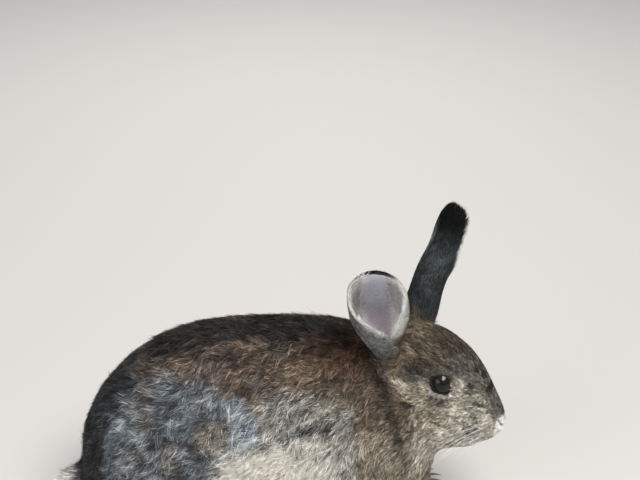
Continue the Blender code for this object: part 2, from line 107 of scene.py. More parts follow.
# Base and tip are offsets from the nose. The mouth is turned by the twist at the
# root; the bow leads the line back from the mouth and the nod leans the tip over it.
# Widths are half widths; swell and mouth are the shares where the roll widens and opens.
EAR_SHAPES = {
    "right": EarShape(
        base=(-77.3, 13.0, 31.3),
        tip=(-99.3, -12.6, 132.0),
        facing=(0.015, -1.0, -0.55),
        twist=16.0,
        bow=8.5,
        nod=7.0,
        root_width=5.5,
        width=18.5,
        swell=(0.10, 0.55),
        mouth=(0.40, 0.95),
    ),
    "left": EarShape(
        base=(-59.8, 42.0, 38.0),
        tip=(-25.2, 75.0, 127.9),
        facing=(0.85, 0.53, -0.37),
        twist=0.0,
        bow=4.9,
        nod=-4.4,
        root_width=10.2,
        width=18.3,
        swell=(0.46, 1.11),
        mouth=(0.36, 0.79),
    ),
}
EAR_START = -0.10            # the ear starts inside the head
EAR_END = 0.9985
EAR_STATIONS = 72
EAR_POINTS = 33              # points across one face of the cup

# ---- the skin
CORE_VOXEL = 2.0
NODE_GROWTH = 0.35           # closes the gaps between the solids
SHRINK_STEPS = 8
SOLE_HEIGHT = 1.0            # the soles stay near the floor, under a thin coat of their own
BORDER_PASSES = 14           # how softly the regions meet
# The solid ears' roots are drawn in to a plain head, so that new ears can grow there
STUB_RADIUS = 13.5
STUB_RISE = (4.0, 45.0)
# By region: depth of the coat over the skin; length and width of its hair; how far the
# hair strays from its lie; how uneven its colour is; and the distance between clumps
Coat = namedtuple("Coat", "depth length width stray mottle clumps")
COATS = {
    "trunk": Coat(3.8, 9.5, 0.56, 1.0, 0.48, 2.9),
    "haunch": Coat(4.0, 10.0, 0.58, 1.15, 0.48, 3.0),
    "foreleg": Coat(3.1, 8.0, 0.50, 0.9, 0.46, 2.4),
    "neck": Coat(3.6, 8.6, 0.50, 0.9, 0.46, 2.5),
    "head": Coat(1.8, 5.2, 0.40, 0.55, 0.48, 1.6),
    "foot": Coat(1.5, 4.6, 0.44, 0.4, 0.30, 1.5),
    "tail": Coat(4.8, 11.0, 0.60, 1.0, 0.30, 3.0),
    "ear": Coat(0.45, 3.0, 0.32, 0.0, 0.38, 1.0),
}
REGIONS = tuple(COATS)
# A solid's region, where it isn't the solid's own name without its side
NODE_REGION = {"eye": "head", "hindleg": "haunch", "hindfoot": "foot", "forefoot": "foot"}
# The way the hair lies: forward, upward, and how much more upward on the flanks
LIES = {
    "trunk": (-1.0, -0.10, -0.55),
    "haunch": (-1.0, -0.25, -0.60),
    "foreleg": (-0.5, -1.0, 0.0),
    "neck": (-1.0, -0.25, -0.60),
    "foot": (1.0, -0.25, 0.0),
    "tail": (-1.0, -0.8, 0.0),
}

# The fold behind the right cheek, where the turned head meets the neck: the coat lies lower there, and
# painted shade darkens it
CREASE = ((64.0, -28.0, 132.0), (72.0, -41.0, 108.0), (79.0, -46.0, 86.0))

# ---- the colours
# Display red, green and blue from 0 to 255
COLOURS = {
    "undercoat": (62, 66, 73),
    "back": (38, 35, 33),
    "saddle": (108, 93, 80),
    "agouti": (120, 110, 98),
    "rufous": (82, 59, 46),
    "neck": (92, 79, 66),
    "rump": (46, 46, 47),
    "haunch": (96, 101, 106),
    "haunch_dark": (54, 57, 62),
    "haunch_pale": (146, 151, 154),
    # painted highlight along the front of the knee
    "knee": (160, 166, 172),
    "flank": (165, 162, 154),
    "flank_dark": (62, 64, 68),
    "belly": (244, 239, 226),
    "shoulder": (137, 126, 111),
    "breast": (146, 136, 121),
    "tail": (214, 211, 203),
    "foot": (160, 147, 128),
    "cheek": (160, 150, 134),
    "cheek_pale": (202, 196, 182),
    "crown": (122, 108, 90),
    "forehead": (77, 68, 58),
    "bridge": (110, 106, 99),
    "muzzle": (182, 176, 162),
    "eye_ring": (186, 180, 167),
    "eye_shade": (92, 88, 82),
    "dark_mark": (46, 45, 45),
    "white": (255, 255, 253),
    "ear_tip": (2, 3, 4),
    "ear_back": (56, 60, 62),
    "ear_roll": (138, 139, 138),
    "ear_root": (118, 105, 88),
    "ear_inside": (244, 245, 255),
    "ear_deep": (174, 150, 166),
    "ear_fringe": (255, 253, 249),
    "lid": (30, 26, 25),
    "nostril": (60, 38, 36),
}


# ---- number helpers
def linear(name):
    """A named colour as linear red, green and blue."""
    display = np.array(COLOURS[name]) / 255.0
    low = display / 12.92
    high = ((display + 0.055) / 1.055) ** 2.4
    return np.where(display <= 0.04045, low, high)


def ease(low, high, value):
    """0 at low, 1 at high, and an even ease between, either way round."""
    share = np.clip((value - low) / (high - low), 0.0, 1.0)
    return share * share * (3.0 - 2.0 * share)


def unit(vectors):
    """Vectors at length 1."""
    length = np.linalg.norm(vectors, axis=-1, keepdims=True)
    return vectors / np.maximum(length, 1e-9)


def dot(first, second):
    """Row by row scalar products, kept as a column."""
    return (first * second).sum(-1, keepdims=True)


def noise(points, size, seed):
    """Smooth lumps of about the given size, from -1 to 1."""
    table = np.random.default_rng(seed).uniform(-1.0, 1.0, 4096)
    grid = points / size
    cell = np.floor(grid).astype(np.int64)
    part = grid - cell
    part = part * part * (3.0 - 2.0 * part)
    total = np.zeros(len(points))
    for corner in range(8):
        step = np.array([corner & 1, (corner >> 1) & 1, corner >> 2])
        place = cell + step
        mixed = place[:, 0] * 73856093 ^ place[:, 1] * 19349663 ^ place[:, 2] * 83492791
        weight = np.prod(np.where(step == 1, part, 1.0 - part), axis=1)
        total += table[mixed % 4096] * weight
    return total


def bell(value, size, middle, width):
    """A smooth rise of the given size and width, round a middle value."""
    return size * np.exp(-(((value - middle) / width) ** 2))


def spot(points, centre, radii):
    """1 at a centre, falling softly to 0 at the ellipsoid of the given radii."""
    away = np.linalg.norm((points - centre) / radii, axis=1)
    return ease(1.0, 0.35, away)


def streak(points, line, radius):
    """1 on a line of places, falling softly to 0 at a radius from it."""
    nearest = np.full(len(points), 1e9)
    for start, end in zip(line, line[1:]):
        start = np.array(start)
        along = np.array(end) - start
        share = np.clip((points - start) @ along / (along @ along), 0.0, 1.0)
        away = np.linalg.norm(points - start - share[:, None] * along, axis=1)
        nearest = np.minimum(nearest, away)
    return ease(radius, 0.3 * radius, nearest)


def over(under, name, share):
    """A named colour laid over others by a share for each row."""
    return under + (linear(name) - under) * np.clip(share, 0.0, 1.0)[:, None]


class Layers:
    """Colours for a row of places, laid one over another."""

    def __init__(self, name, count):
        """Start from one named colour everywhere."""
        self.colour = np.tile(linear(name), (count, 1))

    def lay(self, name, share):
        """Lay a named colour on, by a share for each row."""
        self.colour = over(self.colour, name, share)


# ---- mesh helpers
def new_object(name, data):
    """A new object in the scene."""
    made = bpy.data.objects.new(name, data)
    bpy.context.scene.collection.objects.link(made)
    return made


def remove(thing):
    """Take an object out of the scene."""
    bpy.data.objects.remove(thing, do_unlink=True)


def read_mesh(thing):
    """Points in millimetres and triangles of an object."""
    mesh = thing.data
    mesh.calc_loop_triangles()
    points = np.empty(len(mesh.vertices) * 3, np.float32)
    mesh.vertices.foreach_get("co", points)
    corners = np.empty(len(mesh.loop_triangles) * 3, np.int32)
    mesh.loop_triangles.foreach_get("vertices", corners)
    return points.reshape(-1, 3).astype(float) / MM, corners.reshape(-1, 3).astype(int)


def write_mesh(name, points, triangles):
    """A new object from points in millimetres and triangles."""
    mesh = bpy.data.meshes.new(name)
    mesh.vertices.add(len(points))
    mesh.vertices.foreach_set("co", (points * MM).astype(np.float32).ravel())
    mesh.loops.add(triangles.size)
    mesh.loops.foreach_set("vertex_index", triangles.astype(np.int32).ravel())
    mesh.polygons.add(len(triangles))
    mesh.polygons.foreach_set("loop_start", np.arange(0, triangles.size, 3, dtype=np.int32))
    mesh.update(calc_edges=True)
    mesh.polygons.foreach_set("use_smooth", np.full(len(triangles), True))
    return new_object(name, mesh)


def paint(thing, colours):
    """Store linear colours on a mesh's points."""
    layer = thing.data.color_attributes.new("markings", "FLOAT_COLOR", "POINT")
    full = np.ones((len(colours), 4), np.float32)
    full[:, :3] = np.clip(colours, 0.0, 1.0)
    layer.data.foreach_set("color", full.ravel())


def applied(thing, name, kind, **settings):
    """The object with one modifier applied, as a new object in its place."""
    step = thing.modifiers.new("step", kind)
    for key, value in settings.items():
        setattr(step, key, value)
    bpy.context.view_layer.update()
    depsgraph = bpy.context.evaluated_depsgraph_get()
    mesh = bpy.data.meshes.new_from_object(thing.evaluated_get(depsgraph))
    remove(thing)
    return new_object(name, mesh)


def point_normals(points, triangles):
    """A normal for each point, weighted by the area of its faces."""
    first, second, third = (points[triangles[:, corner]] for corner in range(3))
    normals = np.cross(second - first, third - first)
    total = np.zeros_like(points)
    for corner in range(3):
        for axis in range(3):
            total[:, axis] += np.bincount(triangles[:, corner], normals[:, axis], len(points))
    return unit(total)


def nearest_tree(points):
    """A tree that finds the nearest of some points."""
    tree = KDTree(len(points))
    for index, place in enumerate(points.tolist()):
        tree.insert(place, index)
    tree.balance()
    return tree


def merged(parts):
    """Several meshes' points and triangles as one of each."""
    starts = np.cumsum([0] + [len(points) for points, _ in parts[:-1]])
    triangles = [faces + start for (_, faces), start in zip(parts, starts)]
    return np.concatenate([points for points, _ in parts]), np.concatenate(triangles)


def tube_faces(rings, sides):
    """Triangles between neighbouring rings of points."""
    here = np.arange((rings - 1) * sides).reshape(-1, 1, sides)
    after = np.roll(here, -1, axis=2)
    low = np.stack([here, after, after + sides], axis=-1)
    high = np.stack([here, after + sides, here + sides], axis=-1)
    return np.concatenate([low, high], axis=1).reshape(-1, 3)


class Web:
    """Which points of a mesh are neighbours, for smoothing what they hold."""

    def __init__(self, triangles, count):
        """Find every edge once."""
        pairs = np.concatenate([triangles[:, [0, 1]], triangles[:, [1, 2]], triangles[:, [2, 0]]])
        pairs = np.unique(np.sort(pairs, axis=1), axis=0)
        self.start = np.concatenate([pairs[:, 0], pairs[:, 1]])
        self.end = np.concatenate([pairs[:, 1], pairs[:, 0]])
        self.count = count
        self.degree = np.maximum(np.bincount(self.start, minlength=count), 1)[:, None]

    def mean(self, values):
        """The mean of each point's neighbours."""
        sums = [np.bincount(self.start, column[self.end], self.count) for column in values.T]
        return np.stack(sums, axis=1) / self.degree

    def smooth(self, values, passes, strength=0.5, only=None):
        """Values drawn towards their neighbours' mean, on all points or some."""
        share = np.full((self.count, 1), strength)
        if only is not None:
            share = share * only[:, None]
        for _ in range(passes):
            values = values + (self.mean(values) - values) * share
        return values


def largest_part(thing):
    """Drop every loose crumb of a mesh but its main part."""
    points, triangles = read_mesh(thing)
    label = np.arange(len(points))
    while True:
        lowest = label[triangles].min(axis=1)
        before = label.copy()
        for corner in range(3):
            np.minimum.at(label, triangles[:, corner], lowest)
        label = label[label]
        if (label == before).all():
            break
    main = np.bincount(label[triangles[:, 0]]).argmax()
    kept = triangles[label[triangles[:, 0]] == main]
    used, compact = np.unique(kept, return_inverse=True)
    name = thing.name
    remove(thing)
    return write_mesh(name, points[used], compact.reshape(-1, 3))


# ---- head places
def turn_about(axis, degrees):
    """A 3 by 3 turn as numbers."""
    return np.array(Matrix.Rotation(np.radians(degrees), 3, axis))


class Head:
    """The head's own frame, found from the two eyes."""

    def __init__(self):
        """Place the frame so that the eyes' middle falls where it should."""
        self.turn = turn_about("Z", HEAD_YAW) @ turn_about("Y", HEAD_PITCH)
        centres = {}
        for side in OUTWARD:
            low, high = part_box(f"eye_{side}")
            centres[side] = np.array((low + high) * 0.5) / MM
        self.eyes = centres
        middle = (centres["right"] + centres["left"]) * 0.5
        self.nose = middle - self.turn @ EYE_MIDDLE

    def inside(self, points):
        """World places as head places."""
        return (points - self.nose) @ self.turn

    def outside(self, places):
        """Head places as world places."""
        return np.array(places) @ self.turn.T + self.nose

    def direction(self, forward, left, up):
        """A head direction in the world."""
        return self.turn @ np.array([forward, left, up], float)

    def mirrored(self, points):
        """Head places with both sides folded together."""
        places = self.inside(points)
        return np.stack([places[:, 0], np.abs(places[:, 1]), places[:, 2]], axis=1)


# ---- ear surfaces
class Ear:
    """One ear as a cupped blade, with the frame to find a place on it."""

    def __init__(self, side, head):
        """Set the axes of the ear: along it, out of its mouth and across it."""
        self.shape = EAR_SHAPES[side]
        self.base = head.nose + np.array(self.shape.base)
        self.tip = head.nose + np.array(self.shape.tip)
        self.along = unit(self.tip - self.base)
        facing = np.array(self.shape.facing)
        self.facing = unit(facing - self.along * (facing @ self.along))
        self.across = np.cross(self.along, self.facing)

    def centre(self, share):
        """Points on the ear's line, which bows back before the tip nods."""
        bow = 4.0 * share * (1.0 - share) * self.shape.bow
        nod = self.shape.nod * np.maximum((share - 0.72) / 0.28, 0.0) ** 2
        straight = self.base + share[..., None] * (self.tip - self.base)
        return straight + self.facing * (nod - bow)[..., None]

    def opening(self, share):
        """Half the angle of the cup's arc: nearly a tube below, a dish above."""
        opened = (EAR_CLOSED - EAR_OPEN) * ease(*self.shape.mouth, share)
        flattened = EAR_FLATTENING * np.maximum(share - 0.5, 0.0) / 0.5
        return np.radians(EAR_CLOSED - opened - flattened)

    def half_width(self, share):
        """Half the mouth of the cup, from the rolled base to the rounded tip."""
        shape = self.shape
        widened = (shape.width - shape.root_width) * ease(*shape.swell, share)
        fall = np.maximum((share - 0.60) / 0.40, 0.0)
        return (shape.root_width + widened) * np.maximum(1.0 - fall ** 3.0, 0.0) ** 0.52

    def twisted(self, share):
        """The ways across the mouth and out of it, turned by the ear's twist."""
        turn = np.radians(self.shape.twist * (1.0 - ease(*EAR_UNTWISTED, share)))[..., None]
        out = self.facing * np.cos(turn) + self.across * np.sin(turn)
        return self.across * np.cos(turn) - self.facing * np.sin(turn), out

    def surface(self, share, spread):
        """Middle of the blade, its outward direction, and half its thickness."""
        opening = self.opening(share)
        radius = self.half_width(share) / np.sin(np.minimum(opening, 0.5 * np.pi))
        shift = radius * (1.0 + np.cos(opening)) * 0.5
        angle = opening * spread
        across, out = self.twisted(share)
        direction = across * np.sin(angle)[..., None] - out * np.cos(angle)[..., None]
        middle = self.centre(share) + out * shift[..., None] + direction * radius[..., None]
        thickness = EAR_THICKNESS + (EAR_RIM_THICKNESS - EAR_THICKNESS) * spread ** 4
        return middle, direction, 0.5 * thickness

    def inward(self, share, spread):
        """The way from the rim towards the middle of the cup, along its face."""
        angle = (self.opening(share) * spread)[:, None]
        across, out = self.twisted(share)
        rimward = across * np.cos(angle) + out * np.sin(angle)
        return -rimward * np.sign(spread)[:, None]

    def hollow(self, points):
        """1 for places inside the rolled base."""
        share = (points - self.base) @ self.along / np.linalg.norm(self.tip - self.base)
        away = np.linalg.norm(points - self.centre(share), axis=1)
        return (away < 0.9 * self.half_width(share)) * (share > -0.12) * (share < 0.5)

    def blade(self):
        """The closed blade: its points, triangles and each point's ear place."""
        rise = np.linspace(0.0, 1.0, EAR_STATIONS)
        share = EAR_START + (EAR_END - EAR_START) * (1.0 - (1.0 - rise) ** 1.6)
        spread = np.sin(np.linspace(-0.5 * np.pi, 0.5 * np.pi, EAR_POINTS))
        shares, spreads = np.meshgrid(share, spread, indexing="ij")
        middle, direction, half = self.surface(shares, spreads)
        outer = middle + direction * half[..., None]
        inner = middle - direction * half[..., None]
        rings = np.concatenate([outer, inner[:, ::-1]], axis=1)
        face = np.concatenate([np.ones_like(shares), -np.ones_like(shares)], axis=1)
        held = np.concatenate([spreads, spreads[:, ::-1]], axis=1)
        height = np.concatenate([shares, shares], axis=1)
        count = rings.shape[1]
        triangles = [tube_faces(EAR_STATIONS, count)]
        for start, order in ((0, 1), ((EAR_STATIONS - 1) * count, -1)):
            low = start + np.arange(EAR_POINTS - 1)
            high = 2 * start + count - 1 - low
            cap = np.stack([low, high, high - 1, low, high - 1, low + 1], axis=1)
            triangles.append(cap.reshape(-1, 3)[:, ::order])
        places = np.stack([height.ravel(), held.ravel(), face.ravel()], axis=1)
        return rings.reshape(-1, 3), np.concatenate(triangles), places


# ---- the core
def region_of(node):
    """The region that a flesh node belongs to."""
    plain = node.replace("_right", "").replace("_left", "")
    return NODE_REGION.get(plain, plain)


def flesh_nodes(nodes):
    """Names of the solids that are flesh or eyes, without claws."""
    return sorted(name for name in nodes if "_claw_" not in name)


def welded(thing):
    """Points and triangles of an imported solid with its split points joined."""
    shape = bmesh.new()
    shape.from_mesh(thing.data)
    bmesh.ops.remove_doubles(shape, verts=shape.verts, dist=0.01 * MM)
    bmesh.ops.triangulate(shape, faces=shape.faces)
    points = np.array([vert.co[:] for vert in shape.verts]) / MM
    triangles = np.array([[vert.index for vert in face.verts] for face in shape.faces])
    shape.free()
    return points, triangles


def joined_solids(nodes, names, growth):
    """Several solids as one set of points and triangles, each a little swollen."""
    parts, labels = [], []
    for name in names:
        points, triangles = welded(nodes[name])
        parts.append((points + point_normals(points, triangles) * growth, triangles))
        labels.append(np.full(len(triangles), REGIONS.index(region_of(name))))
    return *merged(parts), np.concatenate(labels)


def coat_core(nodes, ears):
    """The body's outline without its ears, as one closed mesh."""
    names = [name for name in flesh_nodes(nodes) if not name.startswith("ear_")]
    points, triangles, _ = joined_solids(nodes, names, NODE_GROWTH)
    rough = write_mesh("core", points, triangles)
    rough = applied(rough, "core", "REMESH", mode="VOXEL", voxel_size=CORE_VOXEL * MM)
    rough = largest_part(rough)
    points, triangles = read_mesh(rough)
    remove(rough)
    web = Web(triangles, len(points))
    stub = np.zeros(len(points))
    for ear in ears.values():
        rise = (points - ear.base) @ ear.along
        away = np.linalg.norm(points - ear.base - rise[:, None] * ear.along, axis=1)
        root = (away < STUB_RADIUS) * (rise > STUB_RISE[0]) * (rise < STUB_RISE[1])
        stub = np.maximum(stub, root)
    points = web.smooth(points, 500, 0.9, stub)
    points = web.smooth(points, 6, 0.5)
    tidy = write_mesh("core", points, triangles)
    tidy = applied(tidy, "core", "REMESH", mode="VOXEL", voxel_size=CORE_VOXEL * MM)
    return largest_part(tidy)


class Regions:
    """How much each place belongs to each region of the body."""

    def __init__(self, nodes):
        """Keep the solids' faces with their labels."""
        names = [name for name in flesh_nodes(nodes) if not name.startswith("ear_")]
        points, triangles, self.labels = joined_solids(nodes, names, 0.0)
        self.tree = BVHTree.FromPolygons(points.tolist(), triangles.tolist())

    def weights(self, points, web):
        """A row of region shares for each point, eased across the borders."""
        shares = np.zeros((len(points), len(REGIONS)))
        for index, place in enumerate(points.tolist()):
            shares[index, self.labels[self.tree.find_nearest(place)[2]]] = 1.0
        return web.smooth(shares, BORDER_PASSES, 0.7)


def region_mix(shares, field):
    """Each point's value of one field of the coats."""
    return shares @ np.array([getattr(COATS[name], field) for name in REGIONS])


def share_of(shares, region):
    """How much each point belongs to a region."""
    return shares[:, REGIONS.index(region)]


def face_trim(points, shares, head):
    """Shortens the coat towards the nose and round the eyes: 1 leaves it whole."""
    places = head.mirrored(points)
    towards_nose = 0.16 + 0.84 * ease(0.0, -62.0, places[:, 0])
    eye = EYE_MIDDLE + (0.0, EYE_OUT, 0.0)
    away = np.linalg.norm((places - eye) * (1.0, 0.6, 1.0), axis=1)
    near_eye = 0.22 + 0.78 * ease(6.0, 19.0, away)
    trim = np.minimum(towards_nose, near_eye)
    return 1.0 + (trim - 1.0) * share_of(shares, "head")


def shrunken(core, regions, head):
    """The skin under the coat, drawn in step by step from the outline."""
    points, triangles = read_mesh(core)
    remove(core)
    web = Web(triangles, len(points))
    shares = regions.weights(points, web)
    depth = region_mix(shares, "depth") * face_trim(points, shares, head) + NODE_GROWTH
    for _ in range(SHRINK_STEPS):
        points = points - point_normals(points, triangles) * depth[:, None] / SHRINK_STEPS
        points = web.smooth(points, 1, 0.25)
    points[:, 2] = np.maximum(points[:, 2], SOLE_HEIGHT)
    return write_mesh("skin", points, triangles)


# ---- the skin
def refine(thing, places, radius, longest):
    """Split the edges near some places until none there is long."""
    shape = bmesh.new()
    shape.from_mesh(thing.data)
    bmesh.ops.triangulate(shape, faces=shape.faces)
    for _ in range(2):
        chosen = []
        for edge in shape.edges:
            middle = (edge.verts[0].co + edge.verts[1].co) * 0.5
            if edge.calc_length() < longest * MM:
                continue
            if any((middle - place).length < radius * MM for place in places):
                chosen.append(edge)
        bmesh.ops.subdivide_edges(shape, edges=chosen, cuts=1, use_grid_fill=True)
        bmesh.ops.triangulate(shape, faces=shape.faces)
    shape.to_mesh(thing.data)
    shape.free()


def eye_axes(side, head):
    """Forward, upward and outward directions at one eye."""
    outward = head.direction(EYE_FORWARD_TURN, OUTWARD[side], EYE_UPWARD_TURN)
    outward = unit(outward)
    forward = head.direction(1.0, 0.0, 0.0)
    forward = unit(forward - outward * (forward @ outward))
    upward = np.cross(outward, forward) * -OUTWARD[side]
    return forward, upward, outward


def lid_gap(points, side, head):
    """Distance outside the opening of the lids, and a large one behind the eye."""
    forward, upward, outward = eye_axes(side, head)
    away = points - head.eyes[side]
    ahead, above = away @ forward, away @ upward
    angle = np.arctan2(above, ahead)
    opening = 1.0 + bell(angle, *INNER_CORNER) + bell(np.abs(angle), *OUTER_CORNER)
    opening = LID_OPENING * (opening + bell(angle, *FLAT_TOP))
    gap = np.hypot(ahead, above) - opening
    return np.where(away @ outward > 0.0, gap, 99.0)


def shape_eyes(points, head):
    """Press the skin into lids round each eyeball, open over the eye itself."""
    for side in OUTWARD:
        gap = lid_gap(points, side, head)
        away = points - head.eyes[side]
        reach = np.linalg.norm(away, axis=1)
        near = (reach < SOCKET_RADIUS) & (gap < LID_REACH)
        lid = EYE_RADIUS + LID_THICKNESS + bell(gap, *LID_RIM) + bell(gap, *LID_CREASE)
        hidden = EYE_RADIUS - SKIN_BEHIND_EYE
        wanted = hidden + (lid - hidden) * ease(-0.55, 0.15, gap)
        hold = ease(LID_REACH, 1.8, gap)
        changed = reach + (wanted - reach) * hold
        scale = np.where(near, changed / np.maximum(reach, 1e-6), 1.0)
        points = head.eyes[side] + away * scale[:, None]
    return points


# Grooves of the muzzle: a line of head places on one side, the depth and radius of the groove, and the
# radii without coat and with a darker colour, partly bare skin and partly painted shade in the groove
Groove = namedtuple("Groove", "line depth radius bare coloured")
NOSTRIL = Groove(((-3.0, 6.4, 2.2), (-2.0, 5.0, -0.8), (-1.0, 2.4, -3.2)), 2.4, 1.6, 1.5, 1.7)
CLEFT = Groove(((-0.2, 0.0, -3.6), (-0.8, 0.0, -9.0), (-3.0, 0.0, -13.6)), 1.4, 1.2, 0.8, 1.1)
MOUTH = Groove(
    ((-2.6, 0.0, -13.4), (-5.0, 3.2, -15.4), (-8.5, 5.8, -18.8), (-13.0, 7.6, -23.0)),
    2.2, 2.0, 1.0, 1.3,
)
NOSE_FOLD = Groove(((-6.8, 8.6, 3.0), (-5.0, 7.8, -4.0), (-3.4, 4.6, -9.5)), 0.7, 2.2, 0.0, 0.0)
# The chin lies back behind the upper lip, and the lip and the nose's wings swell a little
CHIN = ((-3.0, 0.0, -18.5), (-7.0, 4.0, -21.5))
LIP_SWELL = ((-6.0, 3.4, -12.0), (-11.0, 8.0, -15.0))
NOSE_SWELL = ((-1.6, 4.2, 0.6), (-1.6, 4.2, -3.0))
SEEN_FROM_FRONT = (0.35, 1.0, 1.0)


def muzzle_line(places, groove, radius):
    """How near places are to a groove of the muzzle, seen mostly from in front."""
    line = np.array(groove.line) * SEEN_FROM_FRONT
    return streak(places * SEEN_FROM_FRONT, line, radius) * ease(-20.0, -15.0, places[:, 0])


def shape_muzzle(points, normals, shares, head):
    """Sink the nostrils, the cleft, the mouth and the fold behind the nose."""
    places = head.mirrored(points)
    sink = 2.6 * streak(places, CHIN, 7.0)
    for groove in (NOSTRIL, CLEFT, NOSE_FOLD):
        sink = np.maximum(sink, groove.depth * muzzle_line(places, groove, groove.radius))
    sink = sink + MOUTH.depth * muzzle_line(places, MOUTH, MOUTH.radius)
    swell = 0.5 * streak(places, LIP_SWELL, 4.5)
    swell = np.maximum(swell, 0.35 * streak(places, NOSE_SWELL, 2.8))
    near = ease(0.2, 0.6, share_of(shares, "head"))
    return points + normals * ((swell - sink) * near)[:, None]


def make_skin(nodes, head, ears):
    """One closed skin for the whole body, and what is needed to read it."""
    regions = Regions(nodes)
    skin = shrunken(coat_core(nodes, ears), regions, head)
    blades = {}
    for side, ear in ears.items():
        points, triangles, places = ear.blade()
        blades[side] = (points, places)
        blade = write_mesh("blade", points, triangles)
        shape = bmesh.new()
        shape.from_mesh(blade.data)
        bmesh.ops.recalc_face_normals(shape, faces=shape.faces)
        shape.to_mesh(blade.data)
        shape.free()
        skin = applied(skin, "skin", "BOOLEAN", operation="UNION", solver="MANIFOLD", object=blade)
        remove(blade)
    skin = largest_part(skin)
    eyes = [Vector(head.eyes[side] * MM) for side in OUTWARD]
    refine(skin, eyes, 15.0, 0.7)
    refine(skin, [Vector(head.outside((-7.0, 0.0, -7.0)) * MM)], 19.0, 0.7)
    return skin, regions, blades


